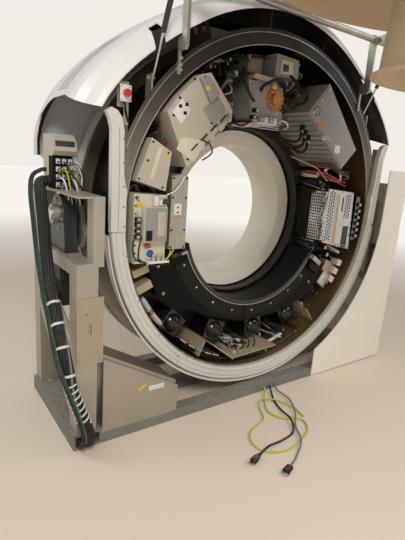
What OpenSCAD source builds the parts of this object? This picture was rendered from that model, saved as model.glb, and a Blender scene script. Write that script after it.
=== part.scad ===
// Tilting ring scanner with its front cover hinged up and its left side cover off.
// X runs right as seen from the front, Y runs to the back, Z is up.
// The origin is on the floor, in the middle of the four anchor bolts.

/* [Gantry] */
// Clearance between the front beam and the rim of the tilting ring
ring_clearance = 20; // [14:1:30]
// Radius of the patient bore
bore_r = 360; // [350:1:364]
// Thickness of the moulded covers
shell_t = 6; // [4:0.5:8]
// Front edge of the bore liner
liner_front_y = 69; // [66:1:76]
// Back face of the closed machine
rear_y = 304; // [296:1:312]
// Radius of the drum that the rotor turns in
drum_r = 812; // [806:1:815]
// Front face of the ring that carries the seal
front_ring_y = -235; // [-240:1:-233]
// Width of the band between the drum and the rim of the tilting frame
frame_band = 56; // [54:1:60]
// Front face of the main frame plate
frame_y = 100; // [96:1:106]
// Thickness of the main frame plate
frame_t = 30; // [24:1:36]
// Radius of the tilt trunnions
trunnion_r = 40; // [34:1:46]

/* [Rotor] */
// Running gap between the rotor and the drum
rotor_gap = 24; // [22:1:30]
// Smallest radius that turns
rotor_hole_r = 440; // [438:1:443]
// Front face of the rotor plate
plate_y = 20; // [16:1:22]
// Thickness of the rotor plate
plate_t = 24; // [20:1:26]
// Thickness of the inner race of the main bearing
race_t = 28; // [24:1:32]
// Running gap of the main bearing
bearing_gap = 0.3; // [0.2:0.05:0.4]
// Front face of the detector housing
detector_y = -180; // [-190:1:-170]
// Front face of the high voltage tank
tank_y = -276; // [-280:1:-262]
// Front face of the cooler
cooler_y = -215; // [-225:1:-205]
// Radius of the copper disc on the tube's end
tube_disc_r = 52; // [46:1:56]

/* [Covers] */
// Rise of the dome's top over the rim of the tilting frame
dome_rise = 156; // [150:1:160]
// Front edge of the dome
dome_front_y = -255; // [-257:1:-250]
// Vent grooves on each shoulder of the dome
vent_count = 6; // [4:1:8]
// Depth of a vent groove
vent_depth = 3; // [2:0.25:3.5]
// Rim of the front cover outside the tilting frame
cover_rim = 12; // [8:1:14]
// Front face of the closed front cover
cover_face_y = -656; // [-664:1:-646]
// Angle that the front cover stands open
cover_open = 86; // [80:1:88]

/* [Stand] */
// Room between the tilting frame and the feet
side_room = 42; // [40:1:48]
// Width of a foot
foot_w = 124; // [116:1:124]
// Half depth of the feet
base_half_d = 304; // [300:1:310]
// Height of a foot
foot_h = 70; // [60:1:80]
// Height of the cross beams
beam_h = 50; // [40:1:52]
// Anchor bolts in from the outer edge of a foot
anchor_inset = 62; // [58:1:66]
// Anchor bolts in from the end of a foot
anchor_end = 74; // [68:1:80]
// Radius of the anchor bolt holes
anchor_hole_r = 9; // [8:0.5:11]
// Height of the bearing platforms over the pinion's axis
platform_rise = 41; // [38:1:46]
// Top of the shelf over the bearing, above the ring's axis
shelf_rise = 102; // [100:1:110]
// Room between the feet and the side cover
cover_room = 110; // [104:1:120]
// Top of the side cover above the ring's axis
cover_top = 284; // [250:1:290]

/* [Tilt drive] */
// Tooth module of the tilt gears
gear_module = 5; // [4.8:0.1:5.2]
// Teeth on a whole sector wheel
sector_teeth = 60; // [60:1:60]
// Teeth on the pinion
pinion_teeth = 18; // [18:1:18]
// Play between the teeth
gear_backlash = 0.5; // [0.4:0.1:0.8]

/* [Hidden] */
$fn = 96;

// Sizes that follow from the ones above
frame_r = drum_r + frame_band;
rotor_r = drum_r - rotor_gap;
rotor_back = plate_y + plate_t;
bearing_inner_r = rotor_hole_r + 32;
bearing_r = bearing_inner_r + race_t;
bearing_outer_r = bearing_r + 40;
lip_r = frame_r + 16;
axis_z = beam_h + ring_clearance + lip_r;
foot_x0 = frame_r + side_room;
base_half_w = foot_x0 + foot_w;
dome_r = frame_r + dome_rise;
dome_half_w = base_half_w + 2;
cover_r = frame_r + cover_rim;
side_cover_x = base_half_w + cover_room;
side_cover_top = axis_z + cover_top;
pinion_pitch_r = gear_module * pinion_teeth / 2;
sector_pitch_r = gear_module * sector_teeth / 2;
pinion_z = axis_z - pinion_pitch_r - sector_pitch_r;
platform_z = pinion_z + platform_rise;
post_top_z = axis_z + shelf_rise;

// Solid of revolution about the ring's axis, from [radius, y] points.
module rev(points, a0 = 0, a1 = 360) {
    translate([0, 0, axis_z]) rotate([-90, 0, 0]) rotate([0, 0, -a1])
        rotate_extrude(angle = a1 - a0) polygon(points);
}
// A front view outline, measured from the ring's axis, given a depth.
module slab_y(y0, y1) {
    translate([0, y1, axis_z]) rotate([90, 0, 0]) linear_extrude(y1 - y0) children();
}
// A side view outline, measured from the floor, given a width.
module slab_x(x0, x1) {
    translate([x0, 0, 0]) rotate([90, 0, 90]) linear_extrude(x1 - x0) children();
}
module both_sides() {
    children();
    mirror([1, 0, 0]) children();
}
// Turned frame for a rotor piece: X points outwards, Z runs round the ring.
module polar(angle) {
    translate([0, 0, axis_z]) rotate([0, -angle, 0]) children();
}
module box(x0, x1, y0, y1, z0, z1) {
    translate([x0, y0, z0]) cube([x1 - x0, y1 - y0, z1 - z0]);
}
module disc_x(y, z, r, x0, x1) {
    translate([x0, y, z]) rotate([0, 90, 0]) cylinder(r = r, h = x1 - x0);
}
module disc_y(x, z, r, y0, y1) {
    translate([x, y1, z]) rotate([90, 0, 0]) cylinder(r = r, h = y1 - y0);
}
module disc_z(x, y, r, z0, z1) {
    translate([x, y, z0]) cylinder(r = r, h = z1 - z0);
}

// Feet, beams and jacks
anchor_x = base_half_w - anchor_inset;
anchor_y = base_half_d - anchor_end;
beam_y = base_half_d - 64;
strap_h = 18;
strap_half_d = 60;
web_t = 10;
sole_t = 12;
anchor_access_r = 24;
jack_x = base_half_w - 90;
jack_y = base_half_d - 42;
jack_r = 9;
jack_nut_r = 20;
jack_nut_h = 12;
entry_xs = [30, 70, 110];
entry_w = 150;
entry_h = 34;
entry_t = 4;
entry_z = 26;
gland_r = 9;
gland_t = 4;

module foot() {
    difference() {
        box(foot_x0, base_half_w, -base_half_d, base_half_d, 0, foot_h);
        box(foot_x0 + web_t, base_half_w - web_t, -base_half_d - 1, base_half_d + 1,
            sole_t, foot_h - sole_t);
        for (side = [-1, 1]) {
            disc_z(anchor_x, side * anchor_y, anchor_hole_r, -1, sole_t + 1);
            disc_z(anchor_x, side * anchor_y, anchor_access_r, foot_h - sole_t - 1, foot_h + 1);
        }
    }
}
module base_left() {
    color("#8d8f8c") mirror([1, 0, 0]) foot();
}
module base_right() {
    color("#8d8f8c") foot();
}
module base_beams() {
    color("#7e807d") {
        for (turn = [0, 180]) rotate([0, 0, turn]) difference() {
            box(-foot_x0, foot_x0, -base_half_d, -beam_y, 0, beam_h);
            box(-foot_x0 - 1, foot_x0 + 1, -base_half_d + web_t, -beam_y - web_t, -1, beam_h - web_t);
        }
        box(-foot_x0, foot_x0, -strap_half_d, strap_half_d, 0, strap_h);
        box(entry_xs[1] - entry_w / 2, entry_xs[1] + entry_w / 2, -base_half_d - entry_t, -base_half_d,
            beam_h - entry_h, beam_h);
        for (x = entry_xs)
            disc_y(x, entry_z, gland_r, -base_half_d - entry_t - gland_t, -base_half_d - entry_t);
    }
}
module levelling_jacks() {
    color("#c9cbc8") for (sx = [-1, 1], y = [-jack_y, jack_y]) translate([sx * jack_x, y, sole_t]) {
        cylinder(r = jack_r, h = foot_h - 2 * sole_t);
        cylinder(r = jack_nut_r, h = jack_nut_h, $fn = 6);
    }
}

// Stands: two posts, a bearing platform, a shelf over the bearing and braces
post_x0 = base_half_w - 99;
post_x1 = base_half_w - 13;
post_d = 84;
post_t = 6;
post_front_y = -base_half_d + 4;
rear_post_y = base_half_d - 4 - post_d;
upper_post_w = 46;
upper_post_d = 62;
platform_t = 15;
platform_x0 = base_half_w - 92;
apron_h = 40;
cable_hole_r = 22;
cable_hole_y = 150;
lower_brace_z = [130, 480];
upper_brace_z = [480, 690];
brace_w = 46;
shelf_t = 8;

module post(y0, top) {
    difference() {
        box(post_x0, post_x1, y0, y0 + post_d, foot_h, top);
        box(post_x0 - 1, post_x1 - post_t, y0 + post_t, y0 + post_d - post_t, foot_h + post_t, top + 1);
    }
}
module brace(ya, za, yb, zb) {
    slab_x(post_x1 - post_t, post_x1)
        polygon([[ya, za], [ya, za + brace_w], [yb, zb + brace_w], [yb, zb]]);
}
module stand() {
    lap = post_t / 2;
    front_back = post_front_y + post_d - lap;
    rear_front = rear_post_y + lap;
    post(post_front_y, platform_z);
    post(rear_post_y, post_top_z - lap);
    difference() {
        box(platform_x0, post_x1 - lap, front_back, rear_front, platform_z - platform_t, platform_z);
        for (y = [-cable_hole_y, cable_hole_y])
            disc_z(platform_x0 + 46, y, cable_hole_r, platform_z - platform_t - 1, platform_z + 1);
    }
    box(post_x1 - post_t, post_x1, front_back, rear_front,
        platform_z - platform_t - apron_h, platform_z);
    brace(front_back, lower_brace_z[0], rear_front, lower_brace_z[1]);
    brace(front_back, upper_brace_z[0], rear_front, upper_brace_z[1]);
    box(foot_x0 + 2, post_x1, post_front_y, post_front_y + post_d, platform_z - platform_t, platform_z);
    box(foot_x0 + 2, foot_x0 + 2 + upper_post_w, post_front_y, post_front_y + upper_post_d,
        platform_z - lap, post_top_z - lap);
    box(foot_x0 + 2, post_x1, post_front_y, rear_front, post_top_z - shelf_t, post_top_z);
}
module stand_left() {
    color("#b9b8b2") mirror([1, 0, 0]) stand();
}
module stand_right() {
    color("#b9b8b2") stand();
}

// Trunnion bearings on the platforms
block_x0 = base_half_w - 88;
block_x1 = base_half_w - 34;
block_half_w = 92;
block_cap_r = 84;
block_foot_h = 26;
fit_gap = 0.05;
seat_gap = 0.8;
module bearing_blocks() {
    color("#26302e") both_sides() difference() {
        union() {
            slab_x(block_x0, block_x1) polygon([[-block_half_w, platform_z], [block_half_w, platform_z],
                [block_half_w, platform_z + block_foot_h], [block_cap_r, axis_z],
                [-block_cap_r, axis_z], [-block_half_w, platform_z + block_foot_h]]);
            disc_x(0, axis_z, block_cap_r, block_x0, block_x1);
        }
        disc_x(0, axis_z, trunnion_r + fit_gap, block_x0 - 1, block_x1 + 1);
        box(block_x0 - 1, block_x1 + 1, -block_half_w, block_half_w, platform_z - block_cap_r, platform_z);
    }
}

// Tilt drive: a pinion in a gearbox under the left platform, in mesh with the sector
gear_x0 = foot_x0 + 2;
gear_w = 18;
gear_side_gap = 6;
sector_half_angle = 52;
sector_reach = sector_pitch_r + 70;
pinion_shaft_r = 15;
gearbox_x0 = gear_x0 + gear_w + gear_side_gap;
gearbox_x1 = post_x1 - post_t;
gearbox_half_d = 75;
gearbox_h = 104;
gearbox_top = platform_z - platform_t;
motor_l = 130;
pressure = 20;

function inv_angle(base, r) = sqrt(max(0, pow(r / base, 2) - 1)) * 180 / PI - acos(min(1, base / r));
function ray_at(r, a) = [r * cos(a), r * sin(a)];
function tooth(teeth, centre, steps = 4) =
    let (pitch = gear_module * teeth / 2, base = pitch * cos(pressure),
         root = pitch - 1.25 * gear_module, tip = pitch + gear_module, low = max(base, root),
         half = 90 / teeth - gear_backlash / 4 / pitch * 180 / PI + inv_angle(base, pitch),
         flank = [for (i = [0 : steps]) let (r = low + (tip - low) * i / steps)
             [r, half - inv_angle(base, r)]])
    [ray_at(root, centre - half), for (f = flank) ray_at(f[0], centre - f[1]),
     for (i = [steps : -1 : 0]) ray_at(flank[i][0], centre + flank[i][1]), ray_at(root, centre + half)];

module tilt_gearbox() {
    color("#3c4442") mirror([1, 0, 0]) {
        difference() {
            box(gearbox_x0, gearbox_x1, -gearbox_half_d, gearbox_half_d, gearbox_top - gearbox_h, gearbox_top);
            disc_x(0, pinion_z, pinion_shaft_r + fit_gap, gearbox_x0 - 1, gearbox_x1 - 6);
        }
        disc_z((gearbox_x0 + gearbox_x1) / 2, 0, (gearbox_x1 - gearbox_x0) / 2 - 2,
            gearbox_top - gearbox_h - motor_l, gearbox_top - gearbox_h);
    }
}
module tilt_pinion() {
    color("#d0d0cc") {
        translate([-gear_x0 - gear_w, 0, pinion_z]) rotate([90, 0, 90]) linear_extrude(gear_w)
            polygon([for (k = [0 : pinion_teeth - 1])
                each tooth(pinion_teeth, 90 + (k + 0.5) * 360 / pinion_teeth)]);
        disc_x(0, pinion_z, pinion_shaft_r, -gearbox_x1 + 10, -gear_x0 - gear_w);
    }
}

// Covers and boxes on the left stand
post_cover_x0 = base_half_w - 122;
post_cover_x1 = base_half_w - 12;
post_cover_t = 6;
post_cover_z0 = 383;
post_cover_z1 = 664;
side_box_x1 = foot_x0 - 2;
side_box_x0 = side_box_x1 - 373;
side_box_low = axis_z - 772;
side_box_high = axis_z - 562;
side_box_d = 190;
sheet_t = 3;
guard_h = 16;
hood_y0 = -20;
hood_y1 = 130;
hood_z0 = post_top_z + 134;
hood_top = hood_z0 + 88;
hood_half_w = 48;
terminal_x = base_half_w - 64;

module post_cover() {
    color("#cfc6b4") mirror([1, 0, 0]) difference() {
        box(post_cover_x0, post_cover_x1, post_front_y - post_cover_t, post_front_y,
            post_cover_z0, post_cover_z1);
        disc_y(post_cover_x0 + 72, post_cover_z1 - 66, 6, post_front_y - post_cover_t - 1, post_front_y + 1);
        box(post_cover_x0 + 46, post_cover_x0 + 64, post_front_y - post_cover_t - 1, post_front_y + 1,
            post_cover_z1 - 150, post_cover_z1 - 110);
    }
}
module side_box() {
    outline = [[-side_box_x0, beam_h], [-side_box_x0, side_box_low],
               [-side_box_x1, side_box_high], [-side_box_x1, beam_h]];
    color("#b4b2ac") {
        translate([0, -base_half_d + side_box_d, 0]) rotate([90, 0, 0]) linear_extrude(side_box_d)
            polygon(outline);
        translate([0, -base_half_d + side_box_d, 0]) rotate([90, 0, 0]) linear_extrude(side_box_d - 20)
            polygon([outline[1], outline[1] + [0, guard_h], outline[2] + [0, guard_h], outline[2]]);
    }
}
module terminal_block() {
    color("#3a3a36") translate([-terminal_x, 0, 0]) {
        box(-hood_half_w + 6, hood_half_w - 6, hood_y0 + 46, hood_y1 - 6, post_top_z, hood_z0);
        for (row = [0 : 3], col = [0 : 2]) box(-34 + col * 25, -34 + col * 25 + 18,
            hood_y0 + 24, hood_y0 + 46, post_top_z + 6 + row * 32, post_top_z + 30 + row * 32);
    }
}
module terminal_hood() {
    color("#b9b2a2") translate([-terminal_x, 0, 0]) {
        difference() {
            slab_x(-hood_half_w, hood_half_w) polygon([[hood_y0 + 24, hood_z0], [hood_y0, hood_z0 + 22],
                [hood_y0 + 16, hood_top - 20], [hood_y0 + 44, hood_top], [hood_y1, hood_top], [hood_y1, hood_z0]]);
            slab_x(-hood_half_w + sheet_t, hood_half_w - sheet_t) polygon([[hood_y0 + 24, hood_z0 - 1],
                [hood_y0 + sheet_t + 1, hood_z0 + 22], [hood_y0 + 18, hood_top - 22],
                [hood_y0 + 46, hood_top - sheet_t], [hood_y1 - sheet_t, hood_top - sheet_t],
                [hood_y1 - sheet_t, hood_z0 - 1]]);
        }
        difference() {
            for (side = [-1, 1]) box(side > 0 ? hood_half_w - sheet_t : -hood_half_w,
                side > 0 ? hood_half_w : -hood_half_w + sheet_t, hood_y1 - 70, hood_y1, post_top_z, hood_z0);
            for (lead = [[bundle_route[0], bundle_r], [green_route[0], green_r]])
                disc_x(lead[0][1], lead[0][2], lead[1] + lead_gap, -hood_half_w - 1, -hood_half_w + sheet_t + 1);
        }
    }
}

// Tubes swept along hand-placed points
function unit(v) = v / norm(v);
function along(path, i) = unit(path[min(i + 1, len(path) - 1)] - path[max(i - 1, 0)]);
function spline_at(p, i, t) =
    let (a = p[max(i - 1, 0)], b = p[i], c = p[i + 1], d = p[min(i + 2, len(p) - 1)])
    b + (c - a) / 2 * t + (2 * a - 5 * b + 4 * c - d) / 2 * t * t + (3 * b - a - 3 * c + d) / 2 * t * t * t;
function smooth_path(p, n) =
    [for (i = [0 : len(p) - 2]) for (k = [0 : n - 1]) spline_at(p, i, k / n), p[len(p) - 1]];
module swept_tube(path, r, sides, up = [0, 0, 1]) {
    count = len(path);
    rings = [for (i = [0 : count - 1]) let (t = along(path, i), u = unit(cross(up, t)), v = cross(t, u))
        for (k = [0 : sides - 1]) path[i] + r * (cos(k * 360 / sides) * u + sin(k * 360 / sides) * v)];
    polyhedron(rings, concat([[for (k = [0 : sides - 1]) k]],
        [for (i = [0 : count - 2], k = [0 : sides - 1]) let (a = i * sides, n = (k + 1) % sides)
            [a + k, a + sides + k, a + sides + n, a + n]],
        [[for (k = [sides - 1 : -1 : 0]) (count - 1) * sides + k]]), convexity = 6);
}
// A short straight start in the gland, the smooth run, and a straight end.
function lead_path(route, n) = let (last = len(route) - 1)
    concat([route[0]], smooth_path([for (i = [1 : last - 1]) route[i]], n), [route[last]]);
bundle_r = 22;
lead_gap = 2;
lead_out_x = -terminal_x - hood_half_w + 6;
bundle_route = [[lead_out_x, 60, 1085], [-1032, 60, 1085], [-1058, 44, 1072], [-1066, 0, 1020], [-1066, -36, 890],
    [-1066, -70, 775], [-1066, -130, 665], [-1066, -200, 565], [-1064, -260, 470], [-1058, -300, 390],
    [-1050, -330, 300], [-1020, -346, 200], [-990, -352, 110], [-980, -338, 52], [-980, -308, 34], [-980, -288, 34]];
green_r = 9;
green_route = [[lead_out_x, 96, 1130], [-1034, 96, 1130], [-1080, 76, 1104], [-1100, 34, 1040], [-1100, 0, 930],
    [-1100, -40, 810], [-1100, -96, 700], [-1100, -170, 600], [-1100, -240, 500], [-1096, -310, 400],
    [-1072, -366, 300], [-1040, -376, 200], [-1016, -370, 110], [-1013, -350, 46], [-1013, -310, 22], [-1013, -288, 22]];
module cable_bundle() {
    color("#1c1d1e") swept_tube(lead_path(bundle_route, 4), bundle_r, 12, [1, -1, 0]);
    color("#2f6b50") swept_tube(lead_path(green_route, 3), green_r, 8, [1, -1, 0]);
}

// Right side cover: front skin and outer wall in one moulding
cover_inner_x = frame_r - 445;
cover_corner = 64;
cover_lap = frame_r + 22;
cover_foot_gap = 6;
module cover_plan(inset) {
    x = side_cover_x - inset;
    y = base_half_d + shell_t - inset;
    c = cover_corner - inset;
    union() {
        translate([x - c, -y + c]) circle(r = c);
        polygon([[cover_inner_x - 10, -y], [x - c, -y], [x - c, -y + c], [x, -y + c],
                 [x, y + 2 * inset], [cover_inner_x - 10, y + 2 * inset]]);
    }
}
module side_cover() {
    color("#e6e0d2") intersection() {
        translate([0, 0, cover_foot_gap]) linear_extrude(side_cover_top) difference() {
            cover_plan(0);
            cover_plan(shell_t);
        }
        slab_y(-base_half_d - shell_t - 1, base_half_d) difference() {
            polygon([[cover_inner_x, -axis_z], [side_cover_x + 1, -axis_z],
                     [side_cover_x + 1, side_cover_top - axis_z - 90],
                     [side_cover_x - 70, side_cover_top - axis_z], [cover_lap, side_cover_top - axis_z],
                     [cover_inner_x, 0]]);
            circle(r = cover_lap, $fn = 180);
            square([cover_lap, side_cover_top]);
        }
    }
}

// Free cords on the floor, left of the middle in front of the base
lead_r = 5;
earth_r = 4;
signal_r = 4;
entry_y = -base_half_d - entry_t - gland_t;
earth_route = [[30, entry_y, 26], [30, entry_y - 8, 26], [10, -345, 12], [-40, -400, 5], [-90, -480, 5], [-70, -560, 5], [10, -610, 5],
    [-30, -690, 5], [-150, -740, 5], [-250, -750, 5], [-330, -700, 5], [-330, -620, 5], [-270, -560, 5],
    [-160, -520, 5], [-110, -440, 5], [-60, -390, 18], [10, -430, 17], [60, -520, 5], [40, -600, 5]];
lead_route = [[70, entry_y, 26], [70, entry_y - 8, 26], [54, -350, 12], [10, -420, 6], [-20, -500, 6], [-50, -600, 16], [-110, -670, 7],
    [-200, -690, 6], [-290, -700, 16], [-352, -718, 16], [-364, -722, 16]];
signal_route = [[110, entry_y, 26], [110, entry_y - 8, 26], [100, -352, 11], [90, -450, 12], [20, -560, 16], [-60, -640, 8],
    [-130, -740, 14], [-220, -800, 6], [-290, -834, 8], [-301, -838, 8]];
pin_gap = 8;
// Stands a plug, drawn along Z, at the end of its cord.
module at_end(route) {
    tip = route[len(route) - 1];
    run = tip - route[len(route) - 2];
    translate(tip) rotate([0, 0, atan2(run[1], run[0])]) rotate([0, 90, 0]) children();
}
module earth_wire() {
    color("#c9c83a") swept_tube(lead_path(earth_route, 2), earth_r, 8);
}
module power_lead() {
    color("#1d1d1f") swept_tube(lead_path(lead_route, 3), lead_r, 8);
}
module lead_plug() {
    color("#19191a") at_end(lead_route) {
        rotate_extrude() polygon([[0, 0], [6, 0], [9, 14], [15.5, 40], [15.5, 62], [13, 70], [0, 70]]);
        for (y = [-pin_gap, pin_gap]) translate([0, y, 70]) cylinder(r = 2.4, h = 19);
    }
}
module signal_cable() {
    color("#8a8b8a") swept_tube(lead_path(signal_route, 3), signal_r, 8);
}
module signal_plug() {
    color("#222224") at_end(signal_route) {
        box(-8, 7.5, -14, 14, 0, 52);
        box(-6, 5.5, -11, 11, 52, 64);
    }
}

// Tilting frame
boss_x0 = drum_r + sheet_t;
boss_x1 = foot_x0 - 6;
boss_half = 110;
rib_r = (bearing_r + frame_r) / 2 + 16;
frame_hole_out_r = 62;
frame_back_y = frame_y + frame_t;
frame_hole_r = bearing_r + 10;
boss_y0 = -60;
dome_arc = 30;
arc_steps = 14;
bracket_t = 8;
bracket_front_y = -112;
bracket_out_r = dome_r - shell_t - bracket_t / 2 * tan(dome_arc / arc_steps / 2);
bracket_angles = [for (k = [-11, 0, 11]) 90 + k * dome_arc / arc_steps];
bracket_hole_r = 22;
hub_recess_r = 30;
hub_half_h = 70;
module main_frame() {
    color("#a7a49a") {
        difference() {
            union() {
                rev([[frame_hole_r, frame_y], [frame_r, frame_y], [frame_r, frame_back_y],
                     [frame_hole_r, frame_back_y]]);
                both_sides() box(boss_x0, boss_x1, frame_y, frame_back_y,
                    axis_z - boss_half, axis_z + boss_half);
            }
            for (a = [20 : 20 : 360]) polar(a) rotate([90, 0, 0])
                translate([rib_r, 0, -frame_back_y - 1]) cylinder(r = frame_hole_out_r, h = frame_t + 2);
        }
        both_sides() difference() {
            box(frame_r + 4, boss_x1, boss_y0, frame_y + frame_t / 2, axis_z - hub_half_h, axis_z + hub_half_h);
            disc_x(0, axis_z, hub_recess_r, frame_r, boss_x1 + 1);
        }
        for (a = bracket_angles) polar(a) difference() {
            box(drum_r + sheet_t + 2, bracket_out_r, bracket_front_y, frame_y + frame_t / 2,
                -bracket_t / 2, bracket_t / 2);
            for (y = [-76, -8, 60]) translate([(drum_r + bracket_out_r) / 2, y, 0])
                cylinder(r = bracket_hole_r, h = bracket_t + 2, center = true);
        }
    }
}
module trunnions() {
    color("#c4c6c4") {
        both_sides() {
            disc_x(0, axis_z, trunnion_r, boss_x1, base_half_w - 8);
            disc_x(0, axis_z, trunnion_r + 22, boss_x1, foot_x0);
        }
        mirror([1, 0, 0]) intersection() {
            translate([gear_x0, 0, axis_z]) rotate([90, 0, 90]) linear_extrude(gear_w) difference() {
                polygon([for (k = [0 : sector_teeth - 1]) each tooth(sector_teeth, 90 + k * 360 / sector_teeth)]);
                circle(r = trunnion_r);
            }
            slab_x(gear_x0 - 1, gear_x0 + gear_w + 1) polygon([[0, axis_z + 2 * trunnion_r],
                [-trunnion_r - 20, axis_z + 40],
                for (a = [-1, 1]) [a * sector_reach * sin(sector_half_angle),
                    axis_z - sector_reach * cos(sector_half_angle)],
                [trunnion_r + 20, axis_z + 40]]);
        }
    }
}
race_y = rotor_back + 8;
module bearing_outer() {
    r = bearing_r + bearing_gap;
    color("#6d7073") rev([[r, race_y], [bearing_outer_r, race_y], [bearing_outer_r, frame_y],
        [frame_hole_r + 2, frame_y], [r, frame_y - 6]]);
}
module drum_shroud() {
    color("#b5965c") rev([[drum_r, front_ring_y + 6], [drum_r + sheet_t, front_ring_y + 6],
        [drum_r + sheet_t, frame_y], [drum_r, frame_y]]);
}
cheek_top = 400;
flange_r = drum_r - 14;
cheek_r = frame_r + 4;
module front_ring() {
    color("#b8a883") slab_y(front_ring_y, front_ring_y + 6) difference() {
        union() {
            circle(r = frame_r);
            for (side = [-1, 1]) translate([side > 0 ? flange_r : -cheek_r, 0]) square([cheek_r - flange_r, cheek_top]);
        }
        circle(r = flange_r, $fn = 180);
        for (a = [200 : 5 : 340]) rotate(a) translate([flange_r + 8, 0]) circle(r = 2.5, $fn = 16);
    }
}
seal_in = drum_r - 6;
seal_out = frame_r - 2;
seal_front_y = front_ring_y - 27;
seal_joint = 183;
module seal_arc() {
    y = seal_front_y;
    color("#dedbd3") rev([[seal_in, front_ring_y], [seal_in, y + 5], [seal_in + 5, y], [seal_in + 15, y],
        [seal_in + 18, y + 6], [seal_in + 22, y + 6], [seal_in + 25, y], [seal_in + 39, y],
        [seal_in + 42, y + 6], [seal_in + 46, y + 6], [seal_in + 49, y], [seal_out - 4, y],
        [seal_out, y + 4], [seal_out, front_ring_y]], seal_joint, 540 - seal_joint);
}
module seal_side() {
    low = -41.5;
    difference() {
        slab_y(seal_front_y, front_ring_y) translate([seal_in, 0]) polygon([[1, low], [1, 127], [7, 150],
            [14, 185], [18, 350], [28, 396], [46, 420], [72, 430], [92, 416], [78, 388], [68, 350], [64, low]]);
        slab_y(seal_front_y - 1, seal_front_y + 6) translate([seal_in, 0]) polygon([[32, low - 1], [32, 180],
            [37, 360], [42, 360], [37, 180], [37, low - 1]]);
    }
}
module seal_sides() {
    color("#e4e1da") both_sides() seal_side();
}
lip_y = front_ring_y - 23;
lip_back_y = front_ring_y + 45;
module trim_lip() {
    color("#ecebe6") rev([[frame_r, lip_back_y], [frame_r, front_ring_y + 7], [lip_r - 6, lip_y], [lip_r, lip_y],
        [lip_r, lip_y + 6], [frame_r + 6, front_ring_y + 11], [frame_r + 6, lip_back_y]], 184, 356);
}
module belly_pan() {
    color("#a58c5c") rev([[frame_r - sheet_t * 2, front_ring_y + 6], [frame_r, front_ring_y + 6],
        [frame_r, frame_y], [frame_r - sheet_t * 2, frame_y]], 184, 356);
}

// Dome: an arched outline lofted through the depth, with an arched opening in each end
dome_foot_z = 232;
dome_elbow_z = 300;
arch_clear_x = foot_x0 - 5;
arch_top_z = 474;
arch_leg_y = 186;
arch_corner = 110;
dome_rings = [[0, 79], [12, 60], [40, 30], [90, 8], [140, 0], [430, 0], [500, 8], [540, 26], [555, 44]];
function dome_point(inset, u) =
    let (r = dome_r - inset, w = dome_half_w - inset,
         a = [r * sin(dome_arc), r * cos(dome_arc)], c = [w, dome_elbow_z],
         m = a + [1, -tan(dome_arc)] * (w - a[0]) * 0.95)
    u <= arc_steps ? ray_at(r, 90 - dome_arc * u / arc_steps)
    : u <= 26 ? let (t = (u - arc_steps) / (26 - arc_steps)) a * (1 - t) * (1 - t) + m * 2 * t * (1 - t) + c * t * t
    : [w, dome_foot_z];
function dome_line(inset) = [for (u = [-27 : 27]) let (p = dome_point(inset, abs(u))) [u < 0 ? -p[0] : p[0], p[1]]];
function reversed(list) = [for (i = [len(list) - 1 : -1 : 0]) list[i]];
// Loft through the dome's depth, with one closed section at each ring.
module dome_loft(section) {
    n = len(section[0]);
    last = len(dome_rings) - 1;
    translate([0, 0, axis_z]) polyhedron(
        [for (k = [0 : last]) for (p = section[k]) [p[0], dome_front_y + dome_rings[k][0], p[1]]],
        concat([[for (i = [0 : n - 1]) i]], [[for (i = [n - 1 : -1 : 0]) last * n + i]],
            [for (k = [0 : last - 1], i = [0 : n - 1]) let (j = (i + 1) % n)
                [k * n + i, (k + 1) * n + i, (k + 1) * n + j, k * n + j]]), convexity = 8);
}
module dome_shell() {
    dome_loft([for (ring = dome_rings) concat(dome_line(ring[1]), reversed(dome_line(ring[1] + shell_t)))]);
}
module arch_outline() {
    translate([0, axis_z]) offset(r = arch_corner) offset(delta = -arch_corner)
        polygon([[-460, -200], [-460, 380], [-40, arch_top_z], [arch_leg_y - 30, arch_top_z - 4],
                 [arch_leg_y, arch_top_z - 30], [arch_leg_y, -200]]);
}
notch_half = 22;
notch_d = 80;
vent_pitch = 22;
vent_w = 6;
vent_y0 = 40;
vent_a0 = 118;
vent_a1 = 134;
module dome() {
    color("#d8d8d4") difference() {
        dome_shell();
        both_sides() slab_x(arch_clear_x, dome_half_w + 10) arch_outline();
        both_sides() box(strut_x - notch_half, strut_x + notch_half, dome_front_y - 1, dome_front_y + notch_d,
            axis_z + drum_r * 0.6, axis_z + dome_r);
        for (i = [0 : vent_count - 1]) both_sides() slab_y(vent_y0 + i * vent_pitch - 60,
            vent_y0 + i * vent_pitch + vent_w - 60) difference() {
                polygon(concat([[0, 0]], [for (a = [vent_a0 : 4 : vent_a1]) ray_at(dome_r + 60, a)]));
                polygon(dome_line(vent_depth));
        }
    }
}
rear_top_inset = 50;
module rear_cover() {
    color("#dcd9d0") {
        rev([[frame_r, frame_back_y], [frame_r + shell_t, frame_back_y], [frame_r + shell_t, rear_y - 104],
             [frame_r - 18, rear_y - 42], [frame_r - 68, rear_y], [bore_r + shell_t, rear_y],
             [bore_r + shell_t, rear_y - shell_t], [frame_r - 72, rear_y - shell_t],
             [frame_r - 24, rear_y - 46], [frame_r, rear_y - 106]]);
        slab_y(rear_y - shell_t, rear_y) difference() {
            polygon(concat([[88 - frame_r, 0]], dome_line(rear_top_inset), [[frame_r - 88, 0]]));
            circle(r = frame_r - 72);
            translate([-dome_half_w - 1, -1]) square([2 * dome_half_w + 2, 161]);
        }
    }
}
module bore_liner() {
    color("#ece7d8") {
        rev([[bore_r, liner_front_y], [bore_r + shell_t, liner_front_y], [bore_r + shell_t, rear_y],
             [bore_r, rear_y]]);
    }
    color("#2a2a29") rev([[bore_r + shell_t, liner_front_y - 1], [rotor_hole_r - 8, liner_front_y - 9],
        [rotor_hole_r - 8, liner_front_y - 3], [bore_r + shell_t, liner_front_y + 6]]);
}

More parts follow.
